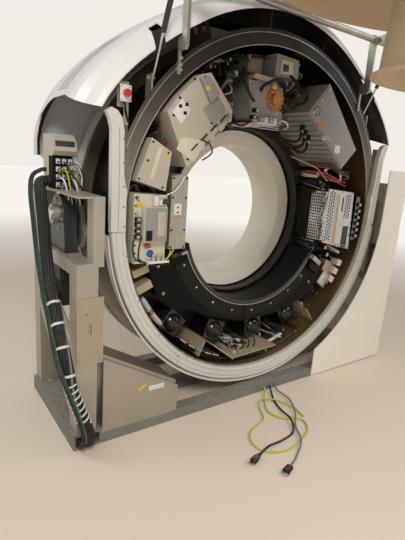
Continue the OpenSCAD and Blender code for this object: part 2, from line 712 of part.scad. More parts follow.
// Front cover hinge: brackets on the frame, a tube and arms on the cover
hinge_y = -276;
hinge_z = axis_z + frame_r + 78;
hinge_tube_r = 16;
hinge_bracket_x = 585;
hinge_plate_t = 12;
hinge_eye_r = 22;
hinge_foot_z = axis_z + sqrt(frame_r * frame_r - hinge_bracket_x * hinge_bracket_x);
arm_x = hinge_bracket_x + 28;
arm_t = 12;
strut_x = arm_x + 67;
eye_r = 9;
eye_t = 12;
lug_t = 8;
lug_x = strut_x + 17;
neck_z0 = hinge_foot_z + 35;
neck_z1 = hinge_foot_z + 87;
plate_z0 = hinge_foot_z - 51;
// Strut pivots, in the side view plane
strut_foot_y = -200;
strut_foot_z = axis_z + 564;
strut_pin_r = 4;
strut_lug_x0 = strut_x + 13;
strut_lug_x1 = strut_x + 20;
strut_lug_back = 20;
module hinge_brackets() {
    color("#c3c5c3") both_sides() {
        difference() {
            slab_x(hinge_bracket_x - hinge_plate_t / 2, hinge_bracket_x + hinge_plate_t / 2) union() {
                polygon([[front_ring_y, plate_z0], [front_ring_y, neck_z1], [hinge_y + 16, neck_z1],
                    [hinge_y + 20, hinge_z], [hinge_y - 20, hinge_z], [hinge_y - 22, neck_z0 + 14],
                    [hinge_y - 10, neck_z0], [front_ring_y - 10, neck_z0], [front_ring_y - 10, plate_z0]]);
                translate([hinge_y, hinge_z]) circle(r = hinge_eye_r);
            }
            disc_x(hinge_y, hinge_z, hinge_tube_r + fit_gap, 0, hinge_bracket_x + hinge_plate_t);
        }
        difference() {
            box(strut_lug_x0, strut_lug_x1, front_ring_y + 6, strut_foot_y + strut_lug_back,
                axis_z + drum_r / 2, strut_foot_z + 14);
            disc_y(0, axis_z, drum_r + sheet_t + seat_gap, front_ring_y, strut_foot_y + strut_lug_back + 1);
        }
        disc_x(strut_foot_y, strut_foot_z, strut_pin_r, strut_x - eye_t / 2, strut_lug_x0);
    }
}

lug_end = [-8, -95];
function turned(v, a) = [v[0] * cos(a) - v[1] * sin(a), v[0] * sin(a) + v[1] * cos(a)];
lug_open = [hinge_y, hinge_z] + turned(lug_end, -cover_open);
strut_line = lug_open - [strut_foot_y, strut_foot_z];
strut_l = norm(strut_line);
strut_angle = atan2(strut_line[1], strut_line[0]);
strut_r = 11;
rod_r = 5;
strut_body_l = 250;
rod_end = 205;
module along_strut() {
    translate([0, strut_foot_y, strut_foot_z]) rotate([strut_angle, 0, 0]) rotate([-90, 0, 0]) children();
}
// Cylinder of a gas strut, with its eye at the cover and its mouth towards the frame.
module strut_body() {
    along_strut() translate([0, 0, strut_l]) rotate([180, 0, 0]) difference() {
        union() {
            translate([0, 0, 14]) cylinder(r = strut_r, h = strut_body_l - 14);
            rotate([0, 90, 0]) cylinder(r = eye_r, h = eye_t, center = true);
            cylinder(r = 6, h = 16);
        }
        translate([0, 0, 24]) cylinder(r = strut_r - 3, h = strut_body_l - 32);
        translate([0, 0, strut_body_l - 10]) cylinder(r = rod_r + fit_gap, h = 12);
        rotate([0, 90, 0]) cylinder(r = 5, h = eye_t + 2, center = true);
    }
}
module strut_rod() {
    along_strut() difference() {
        union() {
            cylinder(r = rod_r, h = rod_end);
            rotate([0, 90, 0]) cylinder(r = eye_r, h = eye_t, center = true);
        }
        rotate([0, 90, 0]) cylinder(r = strut_pin_r + fit_gap, h = eye_t + 2, center = true);
    }
}
module strut_left() {
    color("#1f2022") translate([-strut_x, 0, 0]) strut_body();
}
module strut_right() {
    color("#1f2022") translate([strut_x, 0, 0]) strut_body();
}
module rod_left() {
    color("#d5d7d8") translate([-strut_x, 0, 0]) strut_rod();
}
module rod_right() {
    color("#d5d7d8") translate([strut_x, 0, 0]) strut_rod();
}

// Front cover, drawn closed and swung up about the hinge
module opened() {
    translate([0, hinge_y, hinge_z]) rotate([-cover_open, 0, 0]) translate([0, -hinge_y, -hinge_z]) children();
}
rim_y = -264;
funnel_tip_y = liner_front_y - 11;
funnel_r = bore_r;
face_in_r = cover_r - 320;
// The cover keeps inside this ball round the middle, so that it can tilt between the stands.
cover_ball_r = cover_r + 44;
cover_ball_a0 = 21;
function cover_curve(ball_r, face_y, steps = 8) =
    [for (i = [steps : -1 : 0]) let (a = cover_ball_a0 + (asin(-face_y / ball_r) - cover_ball_a0) * i / steps)
        [ball_r * cos(a), -ball_r * sin(a)]];
function funnel_curve(r_in, y_in, steps = 8) = [for (i = [0 : steps]) let (a = 90 * i / steps)
    [r_in + (face_in_r - r_in) * (1 - cos(a)), y_in + (cover_face_y - y_in) * sin(a)]];
funnel_start_y = -330;
module front_cover() {
    outer = concat([[cover_r, rim_y]], reversed(cover_curve(cover_ball_r, cover_face_y)),
        reversed(funnel_curve(funnel_r, funnel_start_y)), [[funnel_r, funnel_tip_y]]);
    inner = concat([[funnel_r + 30, funnel_tip_y], [funnel_r + 30, funnel_tip_y - shell_t],
        [funnel_r + shell_t, funnel_tip_y - 14]],
        [for (p = funnel_curve(funnel_r + shell_t, funnel_start_y)) [p[0], max(p[1], cover_face_y + shell_t)]],
        cover_curve(cover_ball_r - shell_t, cover_face_y + shell_t),
        [[cover_r - shell_t, rim_y]]);
    color("#c9bda6") opened() rev(concat(outer, inner));
}
arm_drop = 400;
arm_reach = 104;
module arm_outline() {
    translate([hinge_y, hinge_z]) circle(r = hinge_eye_r);
    polygon([[hinge_y + 10, hinge_z - 12], [hinge_y + 4, hinge_z - arm_drop], [hinge_y - arm_reach, hinge_z - arm_drop],
        [hinge_y - arm_reach + 8, hinge_z - arm_drop + 110], [hinge_y - 18, hinge_z - 12]]);
}
module cover_arms() {
    color("#b9bbb9") opened() {
        disc_x(hinge_y, hinge_z, hinge_tube_r, -lug_x - lug_t / 2, lug_x + lug_t / 2);
        both_sides() {
            difference() {
                slab_x(arm_x - arm_t / 2, arm_x + arm_t / 2) union() arm_outline();
                rev([[0, rim_y + 60], [cover_r + seat_gap, rim_y + 60], [cover_r + seat_gap, rim_y],
                    each reversed(cover_curve(cover_ball_r + seat_gap, cover_face_y - seat_gap)),
                    [0, cover_face_y - seat_gap]]);
            }
            slab_x(lug_x - lug_t / 2, lug_x + lug_t / 2) union() {
                polygon([[hinge_y - 12, hinge_z], [hinge_y + 12, hinge_z],
                    [hinge_y + lug_end[0] + 10, hinge_z + lug_end[1]],
                    [hinge_y + lug_end[0] - 10, hinge_z + lug_end[1]]]);
                translate([hinge_y + lug_end[0], hinge_z + lug_end[1]]) circle(r = 11);
            }
            disc_x(hinge_y + lug_end[0], hinge_z + lug_end[1], 4, lug_x - lug_t / 2 - 4, lug_x - lug_t / 2);
        }
    }
}

// Switch bracket and its red button
switch_x = -drum_r - 10;
switch_z = axis_z + 485;
switch_y = front_ring_y;
switch_gap = 0.2;
stem_r = 8;
button_r = 14;
module switch_bracket() {
    color("#cfd0cd") {
        box(switch_x + 3, switch_x + 23, switch_y - sheet_t, switch_y, axis_z + 372, axis_z + 436);
        box(switch_x - 24, switch_x + 23, switch_y - sheet_t, switch_y, axis_z + 436, switch_z + 43);
        difference() {
            box(switch_x - 22, switch_x + 22, switch_y - 26, switch_y - sheet_t, switch_z - 26, switch_z + 26);
            disc_y(switch_x, switch_z, stem_r + switch_gap, switch_y - 27, switch_y - 8);
        }
    }
}
module stop_button() {
    color("#c8201c") {
        disc_y(switch_x, switch_z, stem_r, switch_y - 32, switch_y - 14);
        disc_y(switch_x, switch_z, button_r, switch_y - 46, switch_y - 31);
    }
}
// Power reaches the rotor through brushes on the slip ring.
slip_in = bearing_outer_r + 20;
slip_out = slip_in + 130;
slip_t = 12;
brush_gap = 0.4;
module brush_block() {
    color("#54585a") polar(-90) difference() {
        translate([slip_in - 10, plate_y + plate_t + slip_t + brush_gap, -90])
            cube([slip_out - slip_in + 20, frame_y - plate_y - plate_t - slip_t - brush_gap, 180]);
        for (k = [-1, 1]) translate([slip_in + 65, frame_y, k * 45]) rotate([90, 0, 0])
            cylinder(r = 12, h = 30);
    }
}

// Rotor. The outlines of its units are drawn for a rotor of this radius and follow the real one.
layout_r = 788;
function fitted(points) = points * rotor_r / layout_r;
flange_l = 26;
module rotor_plate() {
    color("#4b4a47") difference() {
        union() {
            rev([[rotor_hole_r, plate_y], [rotor_r, plate_y], [rotor_r, rotor_back], [rotor_hole_r, rotor_back]]);
            rev([[rotor_hole_r, plate_y - flange_l], [rotor_hole_r + 10, plate_y - flange_l],
                [rotor_hole_r + 10, plate_y], [rotor_hole_r, plate_y]]);
        }
        for (a = [10 : 20 : 350]) polar(a) rotate([90, 0, 0])
            translate([rotor_r - 26, 0, -rotor_back - 1]) cylinder(r = 9, h = plate_t + 2);
    }
}
module bearing_inner() {
    color("#8f9294") rev([[bearing_inner_r, rotor_back], [bearing_r, rotor_back], [bearing_r, frame_y - 14],
        [bearing_inner_r, frame_y - 14]]);
}
module slip_ring() {
    color("#8c6f3a") rev([[slip_in, rotor_back], [slip_out, rotor_back], [slip_out, rotor_back + slip_t],
        for (r = [slip_out - 10 : -20 : slip_in + 10]) each [[r, rotor_back + slip_t],
            [r - 2, rotor_back + slip_t - 4], [r - 8, rotor_back + slip_t - 4], [r - 10, rotor_back + slip_t]],
        [slip_in, rotor_back + slip_t]]);
}
// Tube unit: housing, front plate and mounting yoke
tube_x = fitted(-100);
tube_z = fitted(556);
tube_r = 104;
tube_front_y = -238;
disc_x0 = fitted(-58);
disc_z0 = fitted(561);
module tube_unit() {
    color("#5a5c5d") {
        disc_y(tube_x, axis_z + tube_z, tube_r, tube_front_y, plate_y);
        slab_y(tube_front_y - 14, tube_front_y) polygon(fitted([[-226, 628], [-14, 620], [2, 487], [-30, 462],
            [-176, 462], [-196, 487]]));
    }
}
module tube_disc() {
    color("#b77a4a") {
        disc_y(disc_x0, axis_z + disc_z0, tube_disc_r, tube_front_y - 24, tube_front_y - 14);
        disc_y(disc_x0, axis_z + disc_z0, tube_disc_r * 0.55, tube_front_y - 34, tube_front_y - 24);
        for (k = [0 : 11]) disc_y(disc_x0 + (tube_disc_r - 8) * cos(k * 30),
            axis_z + disc_z0 + (tube_disc_r - 8) * sin(k * 30), 3.6, tube_front_y - 28, tube_front_y - 24);
    }
}
module collimator() {
    color("#d9d9d6") {
        slab_y(tube_front_y - 28, tube_front_y) polygon(fitted([[-176, 462], [-30, 462], [-44, 444], [-160, 444]]));
        slab_y(tube_front_y, plate_y - flange_l) polygon(fitted([[-166, 451], [-36, 451], [-44, 444], [-160, 444]]));
    }
}
module high_voltage_tank() {
    color("#9b9c9a") difference() {
        slab_y(tank_y, plate_y) polygon(fitted([[288, 683], [160, 533], [470, 272], [576, 381]]));
        slab_y(tank_y - 1, tank_y + 4) translate(fitted([215, 545])) difference() {
            circle(r = 24);
            circle(r = 18);
        }
    }
}
power_y = -262;
module power_box() {
    color("#c8c3b6") difference() {
        slab_y(power_y, plate_y) polygon(fitted([[-533, 228], [-640, 441], [-585, 512], [-490, 604],
            [-440, 618], [-312, 486], [-312, 440]]));
        for (k = [0 : 3]) slab_y(power_y - 1, power_y + 12) translate(fitted([-336 - k * 48, 424 - k * 44]))
            rotate(43) square([34, 12], center = true);
    }
}
module filter_box() {
    color("#b9b4a8") slab_y(-255, plate_y) polygon(fitted([[-700, 336], [-765, 166], [-626, 125], [-605, 286]]));
}
module side_module() {
    color("#a9a7a1") slab_y(-262, plate_y) polygon(fitted([[-600, -124], [-600, 190], [-548, 200],
        [-520, 190], [-516, -124]]));
}
chassis_y = -250;
module control_chassis() {
    color("#d6cfb8") {
        slab_y(chassis_y, plate_y) polygon(fitted([[-762, -181], [-768, 112], [-612, 108], [-612, -181]]));
        box(fitted(-736), fitted(-630), chassis_y - 38, chassis_y, axis_z - 83, axis_z + 62);
        disc_y(fitted(-690), axis_z - 138, 24, chassis_y - 6, chassis_y);
        disc_z(fitted(-672), chassis_y - 10, 13, axis_z + 72, axis_z + 104);
    }
}
module console_box() {
    color("#8f908d") {
        slab_y(-200, plate_y) polygon(fitted([[-24, 680], [134, 688], [128, 772], [-22, 778]]));
        slab_y(-120, plate_y) polygon(fitted([[-130, 690], [-34, 684], [-34, 776], [-120, 768]]));
        slab_y(-110, plate_y) polygon(fitted([[190, 660], [236, 705], [262, 738], [180, 762], [160, 700]]));
    }
}
// Cooler: housing with fins on its inner side and a punched front panel
cooler_x0 = rotor_hole_r + 30;
cooler_x1 = fitted(700);
cooler_out = [[cooler_x0, -150], [cooler_x0, 158], [cooler_x1, 140], [cooler_x1 + 25, -205]];
fin_t = 4;
fin_pitch = 12;
module cooler() {
    color("#7b7c7a") {
        slab_y(cooler_y + sheet_t, plate_y) polygon(cooler_out);
        for (y = [cooler_y + 20 : fin_pitch : plate_y - fin_t])
            box(rotor_hole_r + 12, cooler_x0, y, y + fin_t, axis_z - 20, axis_z + 20);
        box(cooler_x1 + 29, cooler_x1 + 66, cooler_y, plate_y, axis_z - 150, axis_z + 118);
    }
}
hole_r = 7;
hole_pitch = 18;
module cooler_panel() {
    color("#c6c6c3") slab_y(cooler_y, cooler_y + sheet_t) difference() {
        polygon(cooler_out);
        for (row = [0 : 15], col = [0 : 2]) translate([cooler_x0 + 20 + col * hole_pitch, -136 + row * hole_pitch
            + (col % 2) * hole_pitch / 2]) circle(r = hole_r, $fn = 6);
        for (row = [0 : 7], col = [0 : 2]) translate([cooler_x1 - 60 + col * hole_pitch, -8 + row * hole_pitch
            + (col % 2) * hole_pitch / 2]) circle(r = hole_r, $fn = 6);
        translate([cooler_x1 - 96, 30]) square([12, 80]);
    }
}
// Detector: an arc housing that faces the tube across the bore
detector_r = rotor_hole_r + 16;
detector_outer = [[-163, 690], [-149, 702], [-122, 590], [-97, 572], [-70, 590], [-46, 660], [-28, 636]];
module detector() {
    color("#161617") {
        difference() {
            slab_y(detector_y, plate_y) polygon(concat([for (p = detector_outer) ray_at(fitted(p[1]), p[0])],
                [for (a = [-26, -50, -95, -140, -165]) ray_at(detector_r - 20, a)]));
            translate([0, plate_y + 1, axis_z]) rotate([90, 0, 0])
                cylinder(r = detector_r, h = plate_y - detector_y + 2, $fn = 180);
        }
    }
}
blower_spots = [[-131, 712], [-108, 650], [-83, 646], [-60, 696]];
blower_half = 52;
module blowers() {
    color("#101011") for (b = blower_spots) polar(b[0]) {
        translate([fitted(b[1]) - blower_half, -120, -58]) cube([2 * blower_half, 120 + plate_y, 116]);
        translate([fitted(b[1]), -120, 0]) rotate([90, 0, 0]) cylinder(r1 = 50, r2 = 34, h = 22);
    }
}
module rotor_brackets() {
    color("#c2ae8c") {
        polar(-117) translate([rotor_r - 88, -236, -26]) cube([84, 236 + plate_y, 4]);
        polar(-53.5) translate([rotor_r - 98, -220, 0]) cube([94, 220 + plate_y, 4]);
        polar(-155.5) translate([rotor_r - 84, -200, -20]) cube([78, 200 + plate_y, 38]);
        polar(-161.5) translate([rotor_r - 96, -190, -14]) cube([80, 190 + plate_y, 34]);
        polar(-30) translate([rotor_r - 138, -170, -62]) cube([110, 170 + plate_y, 124]);
    }
    color("#dfdfdd") slab_y(-236, plate_y) polygon(fitted([[-286, -648], [-155, -748], [164, -734],
        [164, -728], [-153, -742], [-282, -644]]));
}
loom_y = -150;
loom_arcs = [[rotor_r - 28, 11, 209, 223], [rotor_r - 18, 9, 278, 292]];
module looms() {
    color("#cfd2d2") {
        for (loom = loom_arcs) {
            translate([0, 0, axis_z]) rotate([-90, 0, 0]) rotate([0, 0, -loom[3]])
                rotate_extrude(angle = loom[3] - loom[2]) translate([loom[0], loom_y]) circle(r = loom[1]);
            for (a = [loom[2] + 1, loom[3] - 1]) polar(a) translate([loom[0], loom_y, 0]) rotate([-90, 0, 0])
                cylinder(r = loom[1] - 2, h = plate_y - loom_y);
        }
    }
}

base_left();
base_right();
base_beams();
levelling_jacks();
stand_left();
stand_right();
bearing_blocks();
tilt_gearbox();
post_cover();
side_box();
terminal_block();
terminal_hood();
cable_bundle();
side_cover();
earth_wire();
power_lead();
lead_plug();
signal_cable();
signal_plug();
main_frame();
trunnions();
bearing_outer();
drum_shroud();
front_ring();
seal_arc();
seal_sides();
trim_lip();
belly_pan();
dome();
rear_cover();
bore_liner();
hinge_brackets();
brush_block();
switch_bracket();
stop_button();
tilt_pinion();
rotor_plate();
bearing_inner();
slip_ring();
tube_unit();
tube_disc();
collimator();
high_voltage_tank();
power_box();
filter_box();
side_module();
control_chassis();
console_box();
cooler();
cooler_panel();
detector();
blowers();
rotor_brackets();
looms();
front_cover();
cover_arms();
strut_left();
strut_right();
rod_left();
rod_right();
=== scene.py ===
# Looks of a ring scanner standing open for service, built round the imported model.
# Pieces are drawn in millimetres, in the model's own frame, and scaled when they are finished.
import math
import random

import bmesh
import bpy
from mathutils import Matrix, Vector


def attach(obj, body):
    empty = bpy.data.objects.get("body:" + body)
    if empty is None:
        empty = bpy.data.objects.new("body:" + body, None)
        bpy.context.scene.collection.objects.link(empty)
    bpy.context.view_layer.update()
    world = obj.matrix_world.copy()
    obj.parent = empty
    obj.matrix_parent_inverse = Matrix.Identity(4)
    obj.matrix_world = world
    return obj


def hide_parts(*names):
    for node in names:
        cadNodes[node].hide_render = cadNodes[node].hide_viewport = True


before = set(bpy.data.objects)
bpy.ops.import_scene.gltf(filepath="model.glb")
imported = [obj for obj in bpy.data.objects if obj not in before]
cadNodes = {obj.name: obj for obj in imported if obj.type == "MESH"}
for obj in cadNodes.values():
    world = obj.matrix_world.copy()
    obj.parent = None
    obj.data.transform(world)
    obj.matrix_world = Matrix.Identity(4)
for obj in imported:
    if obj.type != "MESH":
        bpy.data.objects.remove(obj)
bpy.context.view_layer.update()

axisZ = 954.0  # height of the ring's axis
mm = 0.001  # one drawing unit in metres
backPlate = 20.0  # front face of the rotor plate
frontward = (0, -1, 0)


def rgb(red, green, blue):
    def linear(c):
        c /= 255
        return c / 12.92 if c <= 0.04045 else ((c + 0.055) / 1.055) ** 2.4
    return (linear(red), linear(green), linear(blue), 1.0)


# ---- camera, from the photograph's viewpoint
view = {"place": (-1.575, -1.869, 1.213), "yaw": 35.95, "pitch": -13.92, "roll": 4.26,
        "focalPixels": 438.2, "frameHeight": 540, "sensor": 36.0}


def addCamera():
    yaw, pitch, roll = (math.radians(view[k]) for k in ("yaw", "pitch", "roll"))
    ahead = Vector((math.sin(yaw) * math.cos(pitch), math.cos(yaw) * math.cos(pitch), math.sin(pitch)))
    level = Vector((math.cos(yaw), -math.sin(yaw), 0))
    above = level.cross(ahead)
    right = math.cos(roll) * level + math.sin(roll) * above
    up = -math.sin(roll) * level + math.cos(roll) * above
    data = bpy.data.cameras.new("photoCamera")
    data.sensor_width = view["sensor"]
    data.lens = view["focalPixels"] / view["frameHeight"] * view["sensor"]
    data.clip_start, data.clip_end = 0.05, 100
    camera = bpy.data.objects.new("photoCamera", data)
    bpy.context.scene.collection.objects.link(camera)
    turn = Matrix((right, up, -ahead)).transposed().to_4x4()
    camera.matrix_world = Matrix.Translation(view["place"]) @ turn
    bpy.context.scene.camera = camera


addCamera()
bpy.context.scene.view_settings.view_transform = "Standard"
print("camera placed")


# ---- node helpers: a value is a number, a colour or another node's socket
def feed(tree, socket, value):
    if isinstance(value, bpy.types.NodeSocket):
        tree.links.new(value, socket)
    elif value is not None:
        socket.default_value = value


def put(tree, kind, *firstInputs, **values):
    node = tree.nodes.new(kind)
    for key, value in values.items():
        label = key.replace("_", " ")
        if label in node.inputs:
            feed(tree, node.inputs[label], value)
        else:
            setattr(node, key, value)
    for socket, value in zip(node.inputs, firstInputs):
        feed(tree, socket, value)
    return node


def maths(tree, operation, a, b=None, clamp=False):
    return put(tree, "ShaderNodeMath", a, b, operation=operation, use_clamp=clamp).outputs[0]


def vectorMaths(tree, operation, *values):
    node = put(tree, "ShaderNodeVectorMath", *values, operation=operation)
    return node.outputs["Value" if operation in ("DOT_PRODUCT", "LENGTH") else "Vector"]


def rise(tree, value, low, gain):
    return maths(tree, "MULTIPLY", maths(tree, "SUBTRACT", value, low), gain, True)


def share(tree, value, low, high):
    return maths(tree, "DIVIDE", maths(tree, "SUBTRACT", value, low), high - low, True)


def mixColour(tree, factor, a, b):
    return put(tree, "ShaderNodeMix", factor, *[None] * 5, a, b, data_type="RGBA").outputs[2]


def objectPlace(tree):
    return put(tree, "ShaderNodeTexCoord").outputs["Object"]


# ---- shader groups shared by the finishes
def shaderGroup(name, inputs, outputs):
    tree = bpy.data.node_groups.new(name, "ShaderNodeTree")
    for label, kind, value in inputs:
        tree.interface.new_socket(label, in_out="INPUT", socket_type=kind).default_value = value
    for label, kind in outputs:
        tree.interface.new_socket(label, in_out="OUTPUT", socket_type=kind)
    return tree, tree.nodes.new("NodeGroupInput").outputs, tree.nodes.new("NodeGroupOutput").inputs


wearFacts = {"radius": 0.0022, "gain": 5.0, "chips": 60.0}
mottleFacts = {"fineScale": 55.0, "broadShare": 0.7, "fineShare": 0.3, "dust": (0.6, 0.57, 0.5, 1)}


def buildEdgeWear():
    tree, _, sink = shaderGroup("edgeWear", [], [("Mask", "NodeSocketFloat")])
    bevel = put(tree, "ShaderNodeBevel", samples=4, Radius=wearFacts["radius"])
    surface = put(tree, "ShaderNodeNewGeometry")
    facing = vectorMaths(tree, "DOT_PRODUCT", bevel.outputs[0], surface.outputs["Normal"])
    edge = maths(tree, "MULTIPLY", maths(tree, "SUBTRACT", 1.0, facing), wearFacts["gain"], True)
    chips = put(tree, "ShaderNodeTexNoise", Vector=objectPlace(tree), Scale=wearFacts["chips"], Detail=3.0)
    feed(tree, sink["Mask"], maths(tree, "MULTIPLY", edge, rise(tree, chips.outputs[0], 0.38, 4.0)))
    return tree


def buildMottle():
    tree, given, sink = shaderGroup("mottle",
        [("Base", "NodeSocketColor", (0.8, 0.8, 0.8, 1)), ("Shade", "NodeSocketColor", (0.5, 0.5, 0.5, 1)),
         ("Scale", "NodeSocketFloat", 4.0), ("Amount", "NodeSocketFloat", 0.3),
         ("Dustiness", "NodeSocketFloat", 0.2)],
        [("Color", "NodeSocketColor"), ("Patches", "NodeSocketFloat")])
    place = objectPlace(tree)
    broad = put(tree, "ShaderNodeTexNoise", Vector=place, Scale=given["Scale"], Detail=4.0, Roughness=0.6)
    fine = put(tree, "ShaderNodeTexNoise", Vector=place, Scale=mottleFacts["fineScale"], Detail=3.0,
               Roughness=0.65)
    patches = rise(tree, broad.outputs[0], 0.35, 2.6)
    specks = rise(tree, fine.outputs[0], 0.45, 2.2)
    both = maths(tree, "ADD", maths(tree, "MULTIPLY", patches, mottleFacts["broadShare"]),
                 maths(tree, "MULTIPLY", specks, mottleFacts["fineShare"]))
    aged = mixColour(tree, maths(tree, "MULTIPLY", both, given["Amount"], True), given["Base"], given["Shade"])
    split = put(tree, "ShaderNodeSeparateXYZ", put(tree, "ShaderNodeNewGeometry").outputs["Normal"])
    film = maths(tree, "MULTIPLY", rise(tree, split.outputs["Z"], 0.3, 1.4),
                 maths(tree, "MULTIPLY", specks, given["Dustiness"]), True)
    feed(tree, sink["Color"], mixColour(tree, film, aged, mottleFacts["dust"]))
    feed(tree, sink["Patches"], both)
    return tree


def buildGrain():
    tree, given, sink = shaderGroup("grain",
        [("Stretch", "NodeSocketVector", (1, 1, 1)), ("Scale", "NodeSocketFloat", 400.0)],
        [("Height", "NodeSocketFloat")])
    stretched = vectorMaths(tree, "MULTIPLY", objectPlace(tree), given["Stretch"])
    noise = put(tree, "ShaderNodeTexNoise", Vector=stretched, Scale=given["Scale"], Detail=3.0, Roughness=0.6)
    feed(tree, sink["Height"], noise.outputs[0])
    return tree


edgeWear, mottle, grain = buildEdgeWear(), buildMottle(), buildGrain()


def finish(name, base, shade, rough=0.4, roughSpread=0.12, metal=0.0, coat=0.0, scale=4.0, amount=0.35, dust=0.25,
           stretch=(1, 1, 1), grainScale=350.0, bump=0.06, wear=0.0, wearColour=(186, 184, 178), shine=0.5,
           fade=None, paintedInnerShade=None):
    material = bpy.data.materials.new(name)
    material.use_nodes = True
    tree = material.node_tree
    colour = put(tree, "ShaderNodeGroup", node_tree=mottle, Base=rgb(*base), Shade=rgb(*shade), Scale=scale,
                 Amount=amount, Dustiness=dust)
    shown = colour.outputs["Color"]
    # painted light: the colour turns to a set tone along one direction, which paints shade and reflection into the
    # surface
    if fade:
        along, low, high, paintedLightTone = fade
        reach = vectorMaths(tree, "DOT_PRODUCT", objectPlace(tree), along)
        shown = mixColour(tree, share(tree, reach, low, high), shown, rgb(*paintedLightTone))
    if paintedInnerShade:  # painted shade: another, darker colour on faces that look at the ring's axis
        where = put(tree, "ShaderNodeTexCoord").outputs
        radial = vectorMaths(tree, "MULTIPLY_ADD", where["Object"], (1, 0, 1), (0, 0, -axisZ * mm))
        facing = vectorMaths(tree, "DOT_PRODUCT", radial, where["Normal"])
        shown = mixColour(tree, maths(tree, "MULTIPLY", facing, -6.0, True), shown, rgb(*paintedInnerShade))
    touch = put(tree, "ShaderNodeGroup", node_tree=grain, Stretch=stretch, Scale=grainScale).outputs["Height"]
    gloss = maths(tree, "ADD", maths(tree, "MULTIPLY", colour.outputs["Patches"], roughSpread), rough)
    gloss = maths(tree, "ADD", gloss, maths(tree, "MULTIPLY", touch, roughSpread), True)
    if wear:
        worn = put(tree, "ShaderNodeGroup", node_tree=edgeWear).outputs["Mask"]
        shown = mixColour(tree, maths(tree, "MULTIPLY", worn, wear, True), shown, rgb(*wearColour))
    relief = put(tree, "ShaderNodeBump", Strength=bump, Distance=0.001, Height=touch)
    shader = tree.nodes["Principled BSDF"]
    for label, value in {"Base Color": shown, "Roughness": gloss, "Metallic": metal, "Specular IOR Level": shine,
                         "Coat Weight": coat, "Coat Roughness": 0.12, "Normal": relief.outputs[0]}.items():
        feed(tree, shader.inputs[label], value)
    return material


# ---- finishes, named for what they cover
# painted shade: the dome's faces that look inward are darkened
domeShell = finish("domeShell", (224, 225, 225), (200, 200, 198), rough=0.30, coat=0.25, amount=0.3, dust=0.15,
                   paintedInnerShade=(46, 36, 30))
sealWhite = finish("sealWhite", (214, 212, 206), (190, 186, 176), rough=0.38, amount=0.4, dust=0.3, bump=0.05)
# painted reflection: the cover's tan is the room's orange light put into its colour
coverPaintedReflection = finish("coverPaintedReflection", (206, 186, 154), (184, 160, 124), rough=0.42, amount=0.4, dust=0.0)
linerCream = finish("linerCream", (234, 230, 216), (216, 208, 190), rough=0.34, coat=0.2, amount=0.3, dust=0.1)
creamPaint = finish("creamPaint", (212, 206, 184), (190, 182, 156), rough=0.42, wear=0.5)
boxPaint = finish("boxPaint", (190, 181, 165), (170, 159, 140), rough=0.44, wear=0.55, amount=0.4)
greyPaint = finish("greyPaint", (150, 149, 146), (128, 126, 121), rough=0.36, wear=0.6, amount=0.4)
darkPaint = finish("darkPaint", (34, 31, 29), (18, 16, 14), rough=0.45, wear=0.6, wearColour=(128, 122, 112))
framePaint = finish("framePaint", (92, 82, 68), (56, 46, 36), rough=0.45, wear=0.5, amount=0.5)
# painted shade: the drum turns near-black towards its upper left, where it lies under the dome
drumGold = finish("drumGold", (168, 136, 86), (112, 84, 50), rough=0.27, metal=0.7, scale=6, amount=0.6,
                  stretch=(1, 0.15, 1), grainScale=90, fade=((-0.55, 0, 0.85), 0.35, 1.1, (22, 17, 13)))
# painted shade and painted reflection: the ring turns dark blue-grey towards its top, inside the dome's edge
ringGold = finish("ringGold", (152, 144, 130), (104, 96, 84), rough=0.2, metal=0.8, scale=9, amount=0.6, wear=0.4,
                  fade=((0, 0, 1), 1.15, 1.6, (76, 80, 86)))
stainless = finish("stainless", (188, 182, 172), (158, 150, 138), rough=0.26, metal=0.85, scale=5, amount=0.4,
                   stretch=(1, 1, 0.04), grainScale=420, bump=0.05, wear=0.4, wearColour=(222, 220, 214))
brightSteel = finish("brightSteel", (206, 206, 204), (168, 166, 160), rough=0.2, metal=0.95, scale=14, amount=0.4,
                     wear=0.4, wearColour=(236, 236, 234))
zincPlate = finish("zincPlate", (186, 184, 174), (150, 146, 134), rough=0.34, metal=0.8, scale=22, amount=0.6,
                   wear=0.4, wearColour=(220, 218, 212))
tanBracket = finish("tanBracket", (186, 168, 138), (150, 130, 100), rough=0.4, metal=0.25, wear=0.5)
standPaint = finish("standPaint", (184, 177, 164), (148, 138, 122), rough=0.34, metal=0.5, wear=0.6, amount=0.55)
basePaint = finish("basePaint", (128, 128, 122), (92, 88, 80), rough=0.5, wear=0.6, amount=0.6, dust=0.6)
bearingGreen = finish("bearingGreen", (34, 46, 44), (20, 26, 25), rough=0.34, coat=0.2, wear=0.5,
                      wearColour=(96, 104, 100))
blackGloss = finish("blackGloss", (18, 18, 19), (30, 30, 31), rough=0.16, roughSpread=0.1, coat=0.5, dust=0.2)
blackMatt = finish("blackMatt", (17, 17, 18), (27, 26, 25), rough=0.42, shine=0.25, wear=0.4,
                   wearColour=(74, 74, 74), dust=0.3)
blackRubber = finish("blackRubber", (24, 24, 25), (40, 39, 37), rough=0.55, dust=0.5, grainScale=500, bump=0.1)
greyRubber = finish("greyRubber", (128, 128, 126), (100, 98, 94), rough=0.5, dust=0.3)
whitePlastic = finish("whitePlastic", (222, 222, 218), (196, 194, 186), rough=0.36, dust=0.2)
silverSleeve = finish("silverSleeve", (196, 200, 200), (150, 154, 154), rough=0.36, metal=0.35, dust=0.2)
greenHose = finish("greenHose", (30, 92, 72), (18, 58, 46), rough=0.38, coat=0.2)
yellowLead = finish("yellowLead", (196, 200, 60), (150, 160, 40), rough=0.42)
copperDisc = finish("copperDisc", (206, 148, 96), (160, 104, 62), rough=0.3, metal=0.8, scale=30, amount=0.6, wear=0.4)
brassFit = finish("brassFit", (196, 160, 92), (150, 118, 62), rough=0.28, metal=0.9, scale=20)
